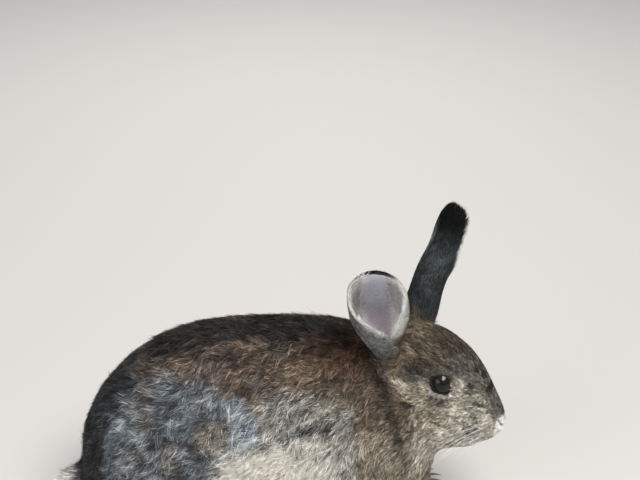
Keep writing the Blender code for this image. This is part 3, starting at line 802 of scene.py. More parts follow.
class Body:
    """The skin with all that its points carry."""

    def __init__(self, nodes, head, ears):
        """Make the skin, shape the face and find each point's region."""
        self.head = head
        self.ears = ears
        self.thing, regions, blades = make_skin(nodes, head, ears)
        self.points, self.triangles = read_mesh(self.thing)
        self.web = Web(self.triangles, len(self.points))
        self.find_ears(blades)
        soft_face = (self.ear_share < 0.1) * (self.head.inside(self.points)[:, 0] > -75.0)
        self.points = self.web.smooth(self.points, 4, 0.5, soft_face)
        self.shares = regions.weights(self.points, self.web)
        self.shares *= (1.0 - self.ear_share)[:, None]
        self.shares[:, REGIONS.index("ear")] = self.ear_share
        normals = point_normals(self.points, self.triangles)
        self.points = shape_muzzle(self.points, normals, self.shares, head)
        self.points = shape_eyes(self.points, head)
        self.normals = point_normals(self.points, self.triangles)
        self.places = head.mirrored(self.points)
        self.thing.data.vertices.foreach_set("co", (self.points * MM).astype(np.float32).ravel())
        self.thing.data.update()
        self.lid = np.minimum(*(lid_gap(self.points, side, head) for side in OUTWARD))
        self.set_coat()

    def find_ears(self, blades):
        """Each point's place on an ear: height, spread and outer or inner face."""
        self.ear_share, self.ear_side, self.ear_angle = np.zeros((3, len(self.points)))
        self.ear_height, self.ear_spread, self.ear_face = np.zeros((3, len(self.points)))
        for side, (blade, places) in blades.items():
            tree = nearest_tree(blade)
            low, high = blade.min(axis=0) - 3.0, blade.max(axis=0) + 3.0
            close = np.nonzero(((self.points > low) & (self.points < high)).all(axis=1))[0]
            for index in close:
                _, found, away = tree.find(self.points[index])
                if away < 1.5 and places[found, 0] > 0.02:
                    self.ear_share[index] = ease(1.5, 0.3, away)
                    self.ear_height[index], self.ear_spread[index] = places[found, :2]
                    self.ear_face[index] = places[found, 2]
                    self.ear_side[index] = OUTWARD[side]
            mine = self.ear_side == OUTWARD[side]
            angle = self.ears[side].opening(self.ear_height) * self.ear_spread
            self.ear_angle[mine] = np.degrees(np.abs(angle[mine]))

    def set_coat(self):
        """Depth, length, width and density of the coat at each point."""
        trim = face_trim(self.points, self.shares, self.head)
        self.depth = region_mix(self.shares, "depth") * trim
        self.length = region_mix(self.shares, "length") * (0.12 + 0.88 * trim)
        self.width = region_mix(self.shares, "width") * (0.45 + 0.55 * trim)
        self.stray = region_mix(self.shares, "stray")
        self.mottle = region_mix(self.shares, "mottle")
        breast = ease(66.0, 80.0, self.points[:, 0]) * ease(84.0, 66.0, self.points[:, 2])
        breast *= 1.0 - share_of(self.shares, "head")
        self.length *= 1.0 + 0.40 * breast
        fold = streak(self.points, CREASE, 5.0) * (1.0 - self.ear_share)
        self.depth *= 1.0 - 0.6 * fold
        self.length *= 1.0 - 0.3 * fold
        self.set_ear_coat()
        self.density *= ease(0.6, 1.3, self.lid)
        on_head = ease(0.3, 0.6, share_of(self.shares, "head"))
        for groove in (NOSTRIL, CLEFT, MOUTH):
            self.density *= 1.0 - muzzle_line(self.places, groove, groove.bare) * on_head
        self.set_lie()
        self.set_guides()

    def set_ear_coat(self):
        """Long pale hair grows in from both rims of an ear over its bare middle."""
        wide = np.abs(self.ear_spread)
        bare = np.where(self.ear_spread * self.ear_side > 0.0, *EAR_BARE)
        inner = self.ear_share * (self.ear_face < 0.0)
        fringe = inner * ease(bare - 2.0, bare + 14.0, self.ear_angle)
        rim = self.ear_share * ease(0.90, 0.99, wide)
        self.length *= 1.0 + 0.95 * np.maximum(fringe, 0.45 * rim) - 0.4 * (inner - fringe)
        self.depth += 0.75 * fringe + 0.35 * rim
        root = self.ear_share * (self.ear_face > 0.0) * ease(0.42, 0.22, self.ear_height)
        self.length *= 1.0 + 0.9 * root
        self.depth += 0.9 * root
        self.density = 1.0 - 0.94 * (inner - fringe)
        self.density *= 1.0 - inner * ease(0.48, 0.38, self.ear_height)
        for ear in self.ears.values():
            self.density *= 1.0 - ear.hollow(self.points) * (self.ear_share < 0.3)

    def set_lie(self):
        """The way the hair lies at each point, along the skin."""
        side = np.abs(self.normals[:, 1])
        lies = {}
        for name, (ahead, up, up_on_side) in LIES.items():
            lies[name] = np.stack([ahead + 0.0 * side, 0.0 * side, up + up_on_side * side], axis=1)
        cheek = np.abs(self.normals @ self.head.direction(0.0, 1.0, 0.0))
        low = ease(16.0, -12.0, self.places[:, 2])
        down = self.head.direction(0.0, 0.0, -1.0)
        lies["head"] = self.head.direction(-1.0, 0.0, 0.0) + (cheek * low)[:, None] * down * 1.05
        along = np.zeros_like(self.points)
        for name, ear in self.ears.items():
            mine = self.ear_side == OUTWARD[name]
            inward = ear.inward(self.ear_height, self.ear_spread)
            turned = ease(0.35, 0.6, np.abs(self.ear_spread)) * (self.ear_face < 0.0)
            closing = 0.2 + 1.0 * ease(0.52, 0.42, self.ear_height)
            turned = turned - closing * ease(0.80, 1.0, np.abs(self.ear_spread)) * (self.ear_face > 0.0)
            along[mine] = (ear.along * 0.6 + inward * (1.1 * turned)[:, None])[mine]
        lies["ear"] = along
        lie = np.zeros_like(self.points)
        for index, name in enumerate(REGIONS):
            lie += unit(lies[name]) * self.shares[:, index:index + 1]
        lie -= self.normals * dot(lie, self.normals)
        lie = self.web.smooth(unit(lie), 8, 0.6, 1.0 - self.ear_share)
        lie = unit(lie - self.normals * dot(lie, self.normals))
        swirl = 0.50 * noise(self.points, 26.0, 21) + 0.45 * noise(self.points, 10.0, 22)
        swirl = (swirl * self.stray)[:, None]
        self.lie = lie * np.cos(swirl) + np.cross(self.normals, lie) * np.sin(swirl)

    def set_guides(self):
        """Two steps of a guide hair from each point, following the skin."""
        tree = nearest_tree(self.points)
        rise = (0.62, 1.0)
        place = self.points.copy()
        nearest = np.arange(len(self.points))
        steps = []
        bending = self.ear_share < 0.2
        for share in rise:
            step = self.length / len(rise)
            ahead = place + self.lie[nearest] * step[:, None]
            found = nearest.copy()
            for index in np.nonzero(bending)[0]:
                found[index] = tree.find(ahead[index])[1]
            normal = self.normals[found]
            foot = ahead - normal * dot(ahead - self.points[found], normal)
            height = (0.5 * (self.depth + self.depth[found]) * share)[:, None]
            follow = foot + normal * height
            straight = self.points + self.lie * (step * (len(steps) + 1))[:, None]
            straight = straight + self.normals * (self.depth * share)[:, None]
            place = np.where(bending[:, None], follow, straight)
            nearest = found
            steps.append(place - self.points)
        self.guides = [self.web.smooth(step, 3, 0.5) for step in steps]

    def at_roots(self, held):
        """All that the markings need to know, at the roots of some tufts."""
        names = "points places lid shares ear_height ear_spread ear_face ear_angle"
        found = SimpleNamespace(**{name: held(getattr(self, name)) for name in names.split()})
        found.normals = unit(held(self.normals))
        found.ear_side = np.sign(held(self.ear_side))
        return found


# ---- the markings
def folded(points):
    """Places with the right side laid on the left, a little out of step."""
    shift = np.where(points[:, 1] > 0.0, 5.0, 0.0)
    return np.stack([points[:, 0] + shift, 0.0 * shift, points[:, 2] + 0.6 * shift], axis=1)


def trunk_colours(points, normals):
    """The colours of the trunk, haunches and shoulders."""
    flat = folded(points)
    forward, height = points[:, 0], points[:, 2]
    lumps = noise(points, 9.0, 1)
    grain = noise(points, 3.6, 2)
    ragged = 6.0 * lumps + 3.0 * grain
    coat = Layers("agouti", len(points))
    coat.lay("saddle", ease(112.0, 132.0, height + ragged))
    level = height + ragged + 0.35 * np.maximum(forward - 6.0, 0.0)
    flank = ease(-22.0, -4.0, forward) * ease(132.0, 118.0, level) * ease(64.0, 42.0, forward)
    coat.lay("flank", flank)
    shoulder = ease(40.0, 62.0, forward + 5.0 * lumps) * ease(130.0, 112.0, height)
    coat.lay("shoulder", shoulder)
    coat.lay("rufous", 0.35 * ease(0.1, 0.5, noise(points, 12.0, 8)) * shoulder)
    patches = ease(0.15, 0.55, noise(points * (0.7, 1.0, 1.0), 12.0, 9))
    coat.lay("haunch_dark", 0.45 * patches * ease(100.0, 124.0, height))
    breast = ease(50.0, 74.0, forward) * ease(96.0, 66.0, height + 4.0 * lumps)
    coat.lay("breast", breast)
    belly_line = 90.0 + 7.0 * lumps + 3.0 * grain - 0.30 * np.maximum(forward - 20.0, 0.0)
    belly = ease(6.0, -14.0, height - belly_line) * ease(58.0, -8.0, forward)
    coat.lay("belly", belly)
    ribbon = ease(0.17, 0.05, np.abs(noise(points, 15.0, 3) + 0.35 * grain))
    blotch = spot(flat, (18.0, 0.0, 105.0), (40.0, 1.0, 27.0))
    coat.lay("flank_dark", ribbon * blotch)
    under = ease(-0.35, -0.75, normals[:, 2])
    coat.lay("belly", under * ease(60.0, 30.0, height))
    stripe = ease(27.0, 8.0, np.abs(points[:, 1]) + ragged)
    stripe = stripe * ease(128.0, 144.0, height)
    # darker towards the rear of the rump
    rump = ease(-84.0, -112.0, forward - 0.30 * (height - 90.0) + 6.0 * lumps)
    coat.lay("rump", rump)
    neck = ease(40.0, 58.0, forward + 4.0 * lumps) * ease(90.0, 106.0, height + 4.0 * lumps)
    coat.lay("neck", 0.9 * neck)
    nape = spot(points, (44.0, -2.0, 146.0), (42.0, 54.0, 33.0))
    coat.lay("rufous", 0.95 * nape)
    coat.lay("back", stripe * ease(60.0, 34.0, forward))
    return coat.colour


def haunch_colours(points):
    """The bluish thigh with its brown middle, and a painted highlight on its upper edge and knee."""
    flat = folded(points)
    height = points[:, 2]
    slanted = points * (0.75, 1.0, 1.0)
    slanted[:, 2] += 0.45 * points[:, 0]
    streaks = 0.6 * noise(slanted, 9.0, 4) + 0.7 * noise(slanted, 4.2, 14)
    coat = Layers("haunch", len(points))
    coat.lay("agouti", 0.45 * ease(0.10, 0.60, noise(points, 14.0, 15)))
    coat.lay("haunch_dark", ease(0.05, 0.60, streaks) * 0.75)
    coat.lay("haunch_pale", ease(-0.05, -0.60, streaks) * 0.65)
    coat.lay("haunch_pale", ease(84.0, 58.0, height) * 0.45)
    # a faint painted highlight along the top of the thigh
    upper = spot(flat, (-48.0, 0.0, 122.0), (34.0, 1.0, 15.0))
    coat.lay("haunch_pale", 0.25 * upper)
    coat.lay("agouti", spot(flat, (-44.0, 0.0, 101.0), (18.0, 1.0, 14.0)) * 0.85)
    coat.lay("flank", spot(flat, (-43.0, 0.0, 100.0), (12.0, 1.0, 10.0)) * 0.5)
    # painted highlight: a pale crescent down the front of the knee
    knee_highlight = ((-29.0, 0.0, 118.0), (-22.0, 0.0, 107.0), (-24.0, 0.0, 92.0))
    knee_highlight = streak(flat, knee_highlight, 13.0) + 0.20 * noise(points, 5.0, 19)
    coat.lay("knee", 0.85 * ease(0.05, 0.95, knee_highlight))
    front = ease(-52.0, -32.0, points[:, 0]) * ease(96.0, 78.0, height)
    coat.lay("belly", 0.9 * front)
    coat.lay("belly", ease(46.0, 22.0, height) * 0.5)
    return coat.colour


def haunch_shape(points):
    """1 inside the outline of the thigh, seen from the side."""
    drift = 0.10 * noise(points, 9.0, 5) + 0.06 * noise(points, 4.0, 16)
    forward = points[:, 0] + 74.0
    across = np.abs(forward) / np.where(forward > 0.0, 60.0, 40.0)
    upward = np.abs(points[:, 2] - 84.0) / 49.0
    away = (across ** 3 + upward ** 3) ** (1.0 / 3.0)
    edge = np.where(forward > 0.0, 0.10, 0.22)
    return ease(1.0 + edge, 1.0 - edge, away + drift) * ease(10.0, 30.0, np.abs(points[:, 1]))


def head_colours(body):
    """The colours of the head, from its own places."""
    places = body.places
    forward, out, up = places.T
    lumps = noise(body.points, 6.0, 6)
    coat = Layers("cheek", len(places))
    coat.lay("cheek_pale", ease(-14.0, -30.0, up) * 0.5)
    coat.lay("muzzle", ease(-46.0, -30.0, forward + 2.0 * lumps))
    top = ease(13.0, 25.0, up + 2.5 * lumps - 0.28 * (forward + 50.0))
    coat.lay("forehead", top * 0.95)
    coat.lay("crown", ease(-66.0, -82.0, forward + 3.0 * lumps) * ease(8.0, 24.0, up))
    bridge = ease(13.0, 6.0, out) * ease(-44.0, -34.0, forward) * ease(-3.0, 6.0, up)
    coat.lay("bridge", bridge)
    coat.lay("bridge", spot(places, (-34.0, 12.0, 20.0), (13.0, 10.0, 8.0)) * 0.9)
    slashes = noise(places * (1.0, 0.6, 2.2), 7.0, 17)
    front = ease(-44.0, -34.0, forward) * ease(-6.0, 4.0, up) * ease(-8.0, -16.0, forward)
    coat.lay("dark_mark", 0.75 * front * ease(0.12, 0.40, slashes))
    coat.lay("dark_mark", spot(places, (-72.0, 25.0, 13.0), (11.0, 16.0, 10.0)) * 0.75)
    line = streak(places, ((-57.0, 32.0, -5.0), (-66.0, 33.0, -6.0), (-75.0, 32.0, -3.0)), 3.8)
    coat.lay("dark_mark", line * 0.8)
    lean = forward + 52.0 - 0.8 * (up - 14.0)
    ring = ease(5.0, 2.2, body.lid)
    coat.lay("eye_shade", ring * ease(2.0, -8.0, lean))
    coat.lay("eye_shade", 0.9 * spot(places, (-49.0, 25.0, 4.0), (10.0, 14.0, 7.0)))
    coat.lay("eye_ring", ring * ease(-2.0, 9.0, lean))
    coat.lay("eye_ring", 0.9 * spot(places, (-40.0, 19.0, 16.0), (6.5, 11.0, 10.0)))
    corner = streak(places, ((-42.0, 20.0, 9.0), (-37.0, 18.0, 3.0)), 4.5)
    coat.lay("eye_ring", corner * 0.8)
    coat.lay("bridge", 0.7 * spot(places, (-46.0, 12.0, 28.0), (13.0, 13.0, 9.0)))
    coat.lay("eye_shade", 0.75 * spot(places, (-19.0, 16.0, -11.0), (9.0, 9.0, 7.5)))
    coat.lay("cheek_pale", ease(-30.0, -42.0, up))
    fray = noise(body.points, 2.6, 18)
    nose = ease(-6.8, -4.6, forward + 0.25 * np.abs(up + 4.0) + 0.8 * lumps + 0.7 * fray)
    narrow = out + 0.30 * np.abs(up + 3.0) + 1.6 * fray
    coat.lay("white", nose * ease(11.5, 7.5, narrow) * ease(6.0, 2.0, up + 1.2 * fray))
    lip = streak(places, ((-4.0, 0.0, -16.0), (-9.0, 5.5, -19.5), (-14.0, 7.0, -23.0)), 7.5)
    lip = ease(0.20, 0.80, lip + 0.25 * fray) * ease(-11.5, -15.5, up + 1.2 * fray)
    coat.lay("white", lip)
    return coat.colour


def ear_colours(body):
    """The dark back, pale fringe and bare bluish inside of the ears."""
    height, spread, face = body.ear_height, body.ear_spread, body.ear_face
    wide = np.abs(spread)
    outer_rim = spread * body.ear_side
    lumps = noise(body.points, 5.0, 7)
    ragged = height + 0.05 * lumps
    back = Layers("ear_back", len(height))
    back.lay("ear_tip", ease(0.58, 0.88, ragged))
    roll = ease(0.92, 0.72, ragged) * ease(0.20, 0.60, outer_rim)
    back.lay("ear_roll", roll)
    # the right ear's front edge is pale on its outer face too
    pale = ease(-0.42, -0.85, outer_rim + 0.10 * lumps) * ease(0.95, 0.85, height)
    back.lay("ear_fringe", 0.75 * pale * (body.ear_side < 0.0))
    front = ease(0.50, 0.34, ragged) * ease(0.10, -0.50, outer_rim)
    back.lay("ear_root", front * (body.ear_side < 0.0))
    back.lay("ear_root", ease(0.26, 0.14, ragged))
    below_tip = np.where(outer_rim > 0.0, 1.0, ease(0.92, 0.80, height))
    edge = ease(0.88, 0.97, wide) * below_tip * ease(0.42, 0.52, height)
    back.lay("ear_fringe", 0.8 * edge)
    hollow = Layers("ear_inside", len(height))
    hollow.lay("ear_deep", 0.6 * ease(0.52, 0.40, height) * ease(0.9, 0.4, wide))
    bare = np.where(outer_rim > 0.0, *EAR_BARE)
    pale_rim = ease(bare - 6.0, bare + 12.0, body.ear_angle + 5.0 * lumps)
    hollow.lay("ear_fringe", 0.9 * pale_rim)
    top = ease(0.88, 0.97, height + 0.05 * wide) * ease(0.15, -0.25, outer_rim)
    hollow.lay("ear_tip", top * 0.9)
    return np.where((face > 0.0)[:, None], back.colour, hollow.colour)


def marking_colours(body):
    """The colour of the coat at every place, region by region."""
    shares = body.shares
    thigh = haunch_shape(body.points)
    trunk = trunk_colours(body.points, body.normals)
    trunk += (haunch_colours(body.points) - trunk) * thigh[:, None]
    # painted shade: a wide soft dark streak along the crease behind the cheek
    trunk = over(trunk, "back", streak(body.points, CREASE, 8.0) * 0.35)
    tail = Layers("tail", len(body.points))
    tail.lay("rump", ease(44.0, 52.0, body.points[:, 2]) * 0.6)
    mixed = trunk * shares[:, :REGIONS.index("head")].sum(axis=1, keepdims=True)
    # the neck's sides stand out beyond the head's own width
    beyond = ease(30.0, 37.0, body.places[:, 1])[:, None]
    face = head_colours(body)
    mixed += (face + (trunk - face) * beyond) * share_of(shares, "head")[:, None]
    mixed += linear("foot") * share_of(shares, "foot")[:, None]
    mixed += tail.colour * share_of(shares, "tail")[:, None]
    mixed += ear_colours(body) * share_of(shares, "ear")[:, None]
    mixed = mixed / np.maximum(shares.sum(axis=1, keepdims=True), 1e-6)
    # painted shade: a narrower, stronger dark streak along the same crease, off the ears
    fold = streak(body.points, CREASE, 4.5) * (1.0 - share_of(shares, "ear"))
    return over(mixed, "back", 0.5 * fold)


def skin_colours(body, markings):
    """The skin's colours: dimmed under the coat, partly the grey undercoat and partly painted shade,
    and plain where it is bare.
    """
    # painted shade: under a deep coat the skin is dimmed, less so where the coat is short
    under = linear("undercoat") * 0.45 + markings * 0.45
    bare = body.ear_share * (body.ear_face < 0.0)
    short = np.clip(np.maximum(bare, ease(2.4, 1.0, body.depth)), 0.0, 1.0)
    colour = under + (markings - under) * short[:, None]
    for ear in body.ears.values():
        colour = over(colour, "ear_deep", ear.hollow(body.points) * (body.ear_share < 0.3) * 0.8)
    colour = over(colour, "lid", ease(1.7, 1.0, body.lid))
    on_head = ease(0.3, 0.6, share_of(body.shares, "head"))
    # the grooves are painted dark: partly bare skin, partly painted shade in the grooves
    for groove, name, strength in (
        (NOSTRIL, "nostril", 1.0), (MOUTH, "dark_mark", 0.9), (CLEFT, "eye_shade", 0.8),
    ):
        line = muzzle_line(body.places, groove, groove.coloured)
        colour = over(colour, name, line * on_head * strength)
    return colour


# ---- the coat
# name: (regions, side or None, number of tufts, name of its kind of coat)
COAT = {
    "coat_trunk_right": (("trunk",), "right", 64000, "agouti_coat"),
    "coat_trunk_left": (("trunk",), "left", 56000, "agouti_coat"),
    "coat_haunch_right": (("haunch",), "right", 44000, "haunch_coat"),
    "coat_haunch_left": (("haunch",), "left", 38000, "haunch_coat"),
    "coat_shoulder_right": (("foreleg", "neck"), "right", 46000, "agouti_coat"),
    "coat_shoulder_left": (("foreleg", "neck"), "left", 38000, "agouti_coat"),
    "coat_head_right": (("head",), "right", 64000, "face_coat"),
    "coat_head_left": (("head",), "left", 52000, "face_coat"),
    "coat_ear_right": (("ear",), "right", 32000, "ear_coat"),
    "coat_ear_left": (("ear",), "left", 30000, "ear_coat"),
    "coat_feet": (("foot",), None, 20000, "pale_coat"),
    "coat_tail": (("tail",), None, 9000, "pale_coat"),
}
PATCH = 0.003                # width of a tuft's patch on the bake map
# Guard hairs: their share of the tufts, and their size against other tufts
GUARD = SimpleNamespace(share=0.07, length=1.25, lift=1.3, pull=0.3, width=0.6)
# How much tufts differ from each other; turns are in radians
SPREAD = SimpleNamespace(length=0.18, clump_length=0.16, yaw=0.15, clump_yaw=0.22,
                         lift=0.18, roll=0.45, width=0.22)
MEAN_LIFT = 0.86
PALE_TIPS = 0.20             # least share of tufts with a pale tip
DARK_TIPS = 0.26
ROOT_DEPTH = 0.25            # tufts start a little under the skin
LOWEST_LINE = 0.15           # least height over the floor of a tuft's middle line
LOWEST_EDGE = 0.1            # and of its edges, and of the claws
# A tuft has two points at its root, two half way up and one at its tip
TUFT_FACES = ((0, 1, 3), (0, 3, 2), (2, 3, 4))


def piece_faces(body, names, side):
    """Which faces of the skin a coat piece grows from."""
    shares = body.shares[body.triangles].mean(axis=1)
    wanted = [REGIONS.index(name) for name in names]
    chosen = np.isin(shares.argmax(axis=1), wanted)
    if side is None:
        return chosen
    if names == ("ear",):
        found = body.ear_side[body.triangles].mean(axis=1)
    elif names == ("head",):
        found = body.head.inside(body.points)[body.triangles].mean(axis=1)[:, 1]
    else:
        found = body.points[body.triangles].mean(axis=1)[:, 1]
    return chosen & ((found < 0.0) if side == "right" else (found >= 0.0))


def unwrapped(body, faces):
    """An unwrap of the chosen faces' own shape, a place for each corner."""
    used, compact = np.unique(body.triangles[faces], return_inverse=True)
    patch = write_mesh("patch", body.points[used], compact.reshape(-1, 3))
    bpy.ops.object.select_all(action="DESELECT")
    bpy.context.view_layer.objects.active = patch
    patch.select_set(True)
    patch.data.uv_layers.new(name="OFBake")
    bpy.ops.object.mode_set(mode="EDIT")
    bpy.ops.mesh.select_all(action="SELECT")
    bpy.ops.uv.smart_project(angle_limit=1.15, island_margin=0.004, scale_to_bounds=True)
    bpy.ops.object.mode_set(mode="OBJECT")
    corners = np.empty(len(patch.data.loops) * 2, np.float32)
    patch.data.uv_layers["OFBake"].uv.foreach_get("vector", corners)
    remove(patch)
    return corners.reshape(-1, 3, 2)


def scattered(body, faces, count, rng):
    """Roots strewn over the chosen faces: a face and three shares for each."""
    corners = body.triangles[faces]
    first, second, third = (body.points[corners[:, corner]] for corner in range(3))
    area = np.linalg.norm(np.cross(second - first, third - first), axis=1)
    # fine hair is set closer than coarse hair
    fineness = (body.density / body.width)[corners].mean(axis=1)
    chance = area * fineness
    picked = rng.choice(len(corners), count, p=chance / chance.sum())
    shares = rng.dirichlet((1.0, 1.0, 1.0), count)
    return picked, shares, count / area.sum()


def gathered(roots, spacing, crowd, rng):
    """The clump that each root leans to: a number, and its middle root."""
    heads = rng.random(len(roots)) < 1.0 / (crowd * spacing ** 2)
    heads[0] = True
    centres = np.nonzero(heads)[0]
    tree = nearest_tree(roots[centres])
    found = np.array([tree.find(root)[1] for root in roots.tolist()])
    return found, centres


def bent_steps(body, held, found, clump, centres, guard, rng):
    """Each tuft's two steps from its root: its guide, bent and drawn to its clump."""
    count = len(guard)
    normals = found.normals
    stray = held(body.stray)
    lie = unit(held(body.lie))
    side_way = np.cross(lie, normals)
    clump_size = rng.normal(1.0, SPREAD.clump_length, len(centres))[clump]
    scale = np.clip(rng.normal(1.0, SPREAD.length, count) * clump_size, 0.45, 1.45)
    scale = scale * np.where(guard, GUARD.length, 1.0)
    yaw = rng.normal(0.0, SPREAD.yaw, count)
    yaw = yaw + rng.normal(0.0, SPREAD.clump_yaw, len(centres))[clump] * stray
    lift = np.clip(rng.normal(MEAN_LIFT, SPREAD.lift, count), 0.35, 1.15)
    lift = lift * np.where(guard, GUARD.lift, 1.0)
    bent = []
    for guide, curl in zip(body.guides, (0.5, 1.3)):
        guide = held(guide)
        height = dot(guide, normals)
        level = guide - normals * height
        level = level + side_way * dot(level, lie) * (yaw * curl)[:, None]
        bent.append(level * scale[:, None] + normals * height * lift[:, None])
    tips = found.points + bent[-1]
    pull = rng.random(count) * 0.45 + 0.12 + 0.08 * np.clip(stray, 0.0, 1.0)
    pull = (pull * np.where(guard, GUARD.pull, 1.0))[:, None]
    towards = (tips[centres[clump]] - tips) * pull
    return bent[0] + towards * 0.33, bent[1] + towards


def tuft_points(found, steps, width, rng):
    """Five points of each tuft, in the order of its faces."""
    count = len(width)
    spine = [found.points - found.normals * ROOT_DEPTH] + [found.points + step for step in steps]
    spine = np.stack(spine, axis=1)
    spine[:, :, 2] = np.maximum(spine[:, :, 2], LOWEST_LINE)
    ahead = unit(np.diff(spine, axis=1))
    ahead = np.concatenate([ahead, ahead[:, -1:]], axis=1)
    across = unit(np.cross(ahead, found.normals[:, None, :]))
    roll = rng.normal(0.0, SPREAD.roll, count)[:, None, None]
    across = across * np.cos(roll) + np.cross(across, ahead) * np.sin(roll)
    half = 0.5 * width * np.clip(rng.normal(1.0, SPREAD.width, count), 0.5, 1.6)
    points = []
    for index, share in enumerate((0.85, 0.9)):
        reach = across[:, index] * (half * share)[:, None]
        points.append(spine[:, index] - reach)
        points.append(spine[:, index] + reach)
    points = np.stack(points + [spine[:, -1]], axis=1)
    points[:, :, 2] = np.maximum(points[:, :, 2], LOWEST_EDGE)
    return points


def make_coat(name, body, rng):
    """One piece of the coat: thin tapered tufts along their guides."""
    names, side, count, slot = COAT[name]
    faces = np.nonzero(piece_faces(body, names, side))[0]
    places = unwrapped(body, faces)
    picked, shares, crowd = scattered(body, faces, count, rng)
    corners = body.triangles[faces][picked]

    def held(values):
        """Values of the skin's points at each root."""
        shape = shares if values.ndim == 1 else shares[:, :, None]
        return (values[corners] * shape).sum(axis=1)

    found = body.at_roots(held)
    spacing = held(region_mix(body.shares, "clumps"))
    clump, centres = gathered(found.points, spacing, crowd, rng)
    guard = rng.random(count) < GUARD.share * np.clip(held(body.stray), 0.0, 1.0)
    steps = bent_steps(body, held, found, clump, centres, guard, rng)
    width = held(body.width) * np.where(guard, GUARD.width, 1.0)
    points = tuft_points(found, steps, width, rng)
    starts = (np.arange(count) * points.shape[1])[:, None, None]
    triangles = (np.array(TUFT_FACES)[None] + starts).reshape(-1, 3)
    piece = write_mesh(name, points.reshape(-1, 3), triangles)
    # a tuft shows where its upper part lies, so it takes its colour from there
    found.points = found.points + steps[-1] * 0.6
    found.places = body.head.mirrored(found.points)
    tone = uneven(marking_colours(found), found, held(body.mottle), clump, len(centres), rng)
    colour_tufts(piece, tone, held(body.ear_share), rng)
    map_tufts(piece, places, picked, shares)
    return piece


def uneven(tone, found, mottle, clump, clumps, rng):
    """Markings broken into darker and lighter streaks, clumps and single tufts."""
    on_head = share_of(found.shares, "head")[:, None]
    long_way = found.points * (0.45, 1.0, 1.0)
    long_way = long_way + (found.places * (0.5, 1.0, 1.0) - long_way) * on_head
    streaks = 1.3 * noise(long_way, 2.6, 31) + 0.8 * noise(long_way, 6.0, 32)
    streaks = streaks + 0.75 * rng.normal(size=clumps)[clump]
    streaks = streaks * mottle + (0.25 + 0.45 * mottle) * rng.normal(size=len(tone))
    # white hair stays even
    calm = ease(0.35, 0.75, tone.mean(axis=1))
    streaks = np.clip(streaks, -1.6, 1.1) * (1.0 - 0.75 * calm)
    return tone * np.exp(streaks - 0.7 * mottle ** 2)[:, None]


def colour_tufts(piece, tone, on_ear, rng):
    """Ticked hair: dim at the root, partly the grey undercoat and partly painted shade deep in the
    coat; its own tone above, light or dark at the tip.
    """
    bright = tone.mean(axis=1)
    calm = np.clip(np.maximum(on_ear, ease(0.35, 0.75, bright)), 0.0, 1.0)[:, None]
    # the dim root and lower half are partly the grey undercoat, partly painted shade deep in the coat
    root = linear("undercoat") * 0.30 + tone * 0.25
    root = root + (tone * 0.75 - root) * calm
    kind = rng.random(len(tone))
    pale = kind < PALE_TIPS + 0.22 * ease(0.02, 0.25, bright)
    tip = np.where(pale[:, None], tone * 2.3 + 0.02, tone)
    tip = np.where((kind > 1.0 - DARK_TIPS)[:, None], tone * 0.25, tip)
    tip = tip + (tone - tip) * 0.7 * calm
    low = root + (tone - root) * 0.15
    high = root + (tone - root) * 0.85
    rows = [low, low, high, high, tip]
    paint(piece, np.stack(rows, axis=1).reshape(-1, 3))


def map_tufts(piece, places, picked, shares):
    """A small patch of the bake map for each tuft, at its root's place."""
    root = (places[picked] * shares[:, :, None]).sum(axis=1)
    root = PATCH + root * (1.0 - 2.0 * PATCH)
    spots = np.array([(-0.5, -0.5), (0.5, -0.5), (-0.5, 0.0), (0.5, 0.0), (0.0, 0.5)]) * PATCH
    spread = root[:, None, :] + spots
    corners = spread[:, np.array(TUFT_FACES).ravel()]
    layer = piece.data.uv_layers.new(name="OFBake", do_init=False)
    layer.uv.foreach_set("vector", corners.astype(np.float32).ravel())


# ---- materials
# Grain is fine noise: its size in millimetres, and the darkest and lightest it makes the
# colour. It gives relief too, by a depth in millimetres and a strength.
Finish = namedtuple("Finish", "roughness specular grain darkest lightest relief strength")
FINISHES = {
    "skin_finish": Finish(0.65, 0.30, 1.1, 0.85, 1.15, 0.25, 0.6),
    "coat_finish": Finish(0.62, 0.14, 2.5, 0.82, 1.18, 0.0, 0.0),
    "eye_gloss": Finish(0.04, 0.36, 0.5, 0.80, 1.20, 0.0, 0.0),
    "claw_horn": Finish(0.35, 0.50, 0.8, 0.60, 1.35, 0.1, 0.4),
}
HORN = (0.23, 0.17, 0.12, 1.0)
PALE_FLOOR = (0.62, 0.60, 0.57, 1.0)


def new_material(name, roughness, specular):
    """A node material and its shader."""
    made = bpy.data.materials.new(name)
    made.use_nodes = True
    shader = made.node_tree.nodes["Principled BSDF"]
    shader.inputs["Roughness"].default_value = roughness
    shader.inputs["Specular IOR Level"].default_value = specular
    return made, made.node_tree, shader


def new_node(tree, kind, **values):
    """A shader node with some of its inputs set, named with _ for a space."""
    node = tree.nodes.new(kind)
    for name, value in values.items():
        node.inputs[name.replace("_", " ")].default_value = value
    return node


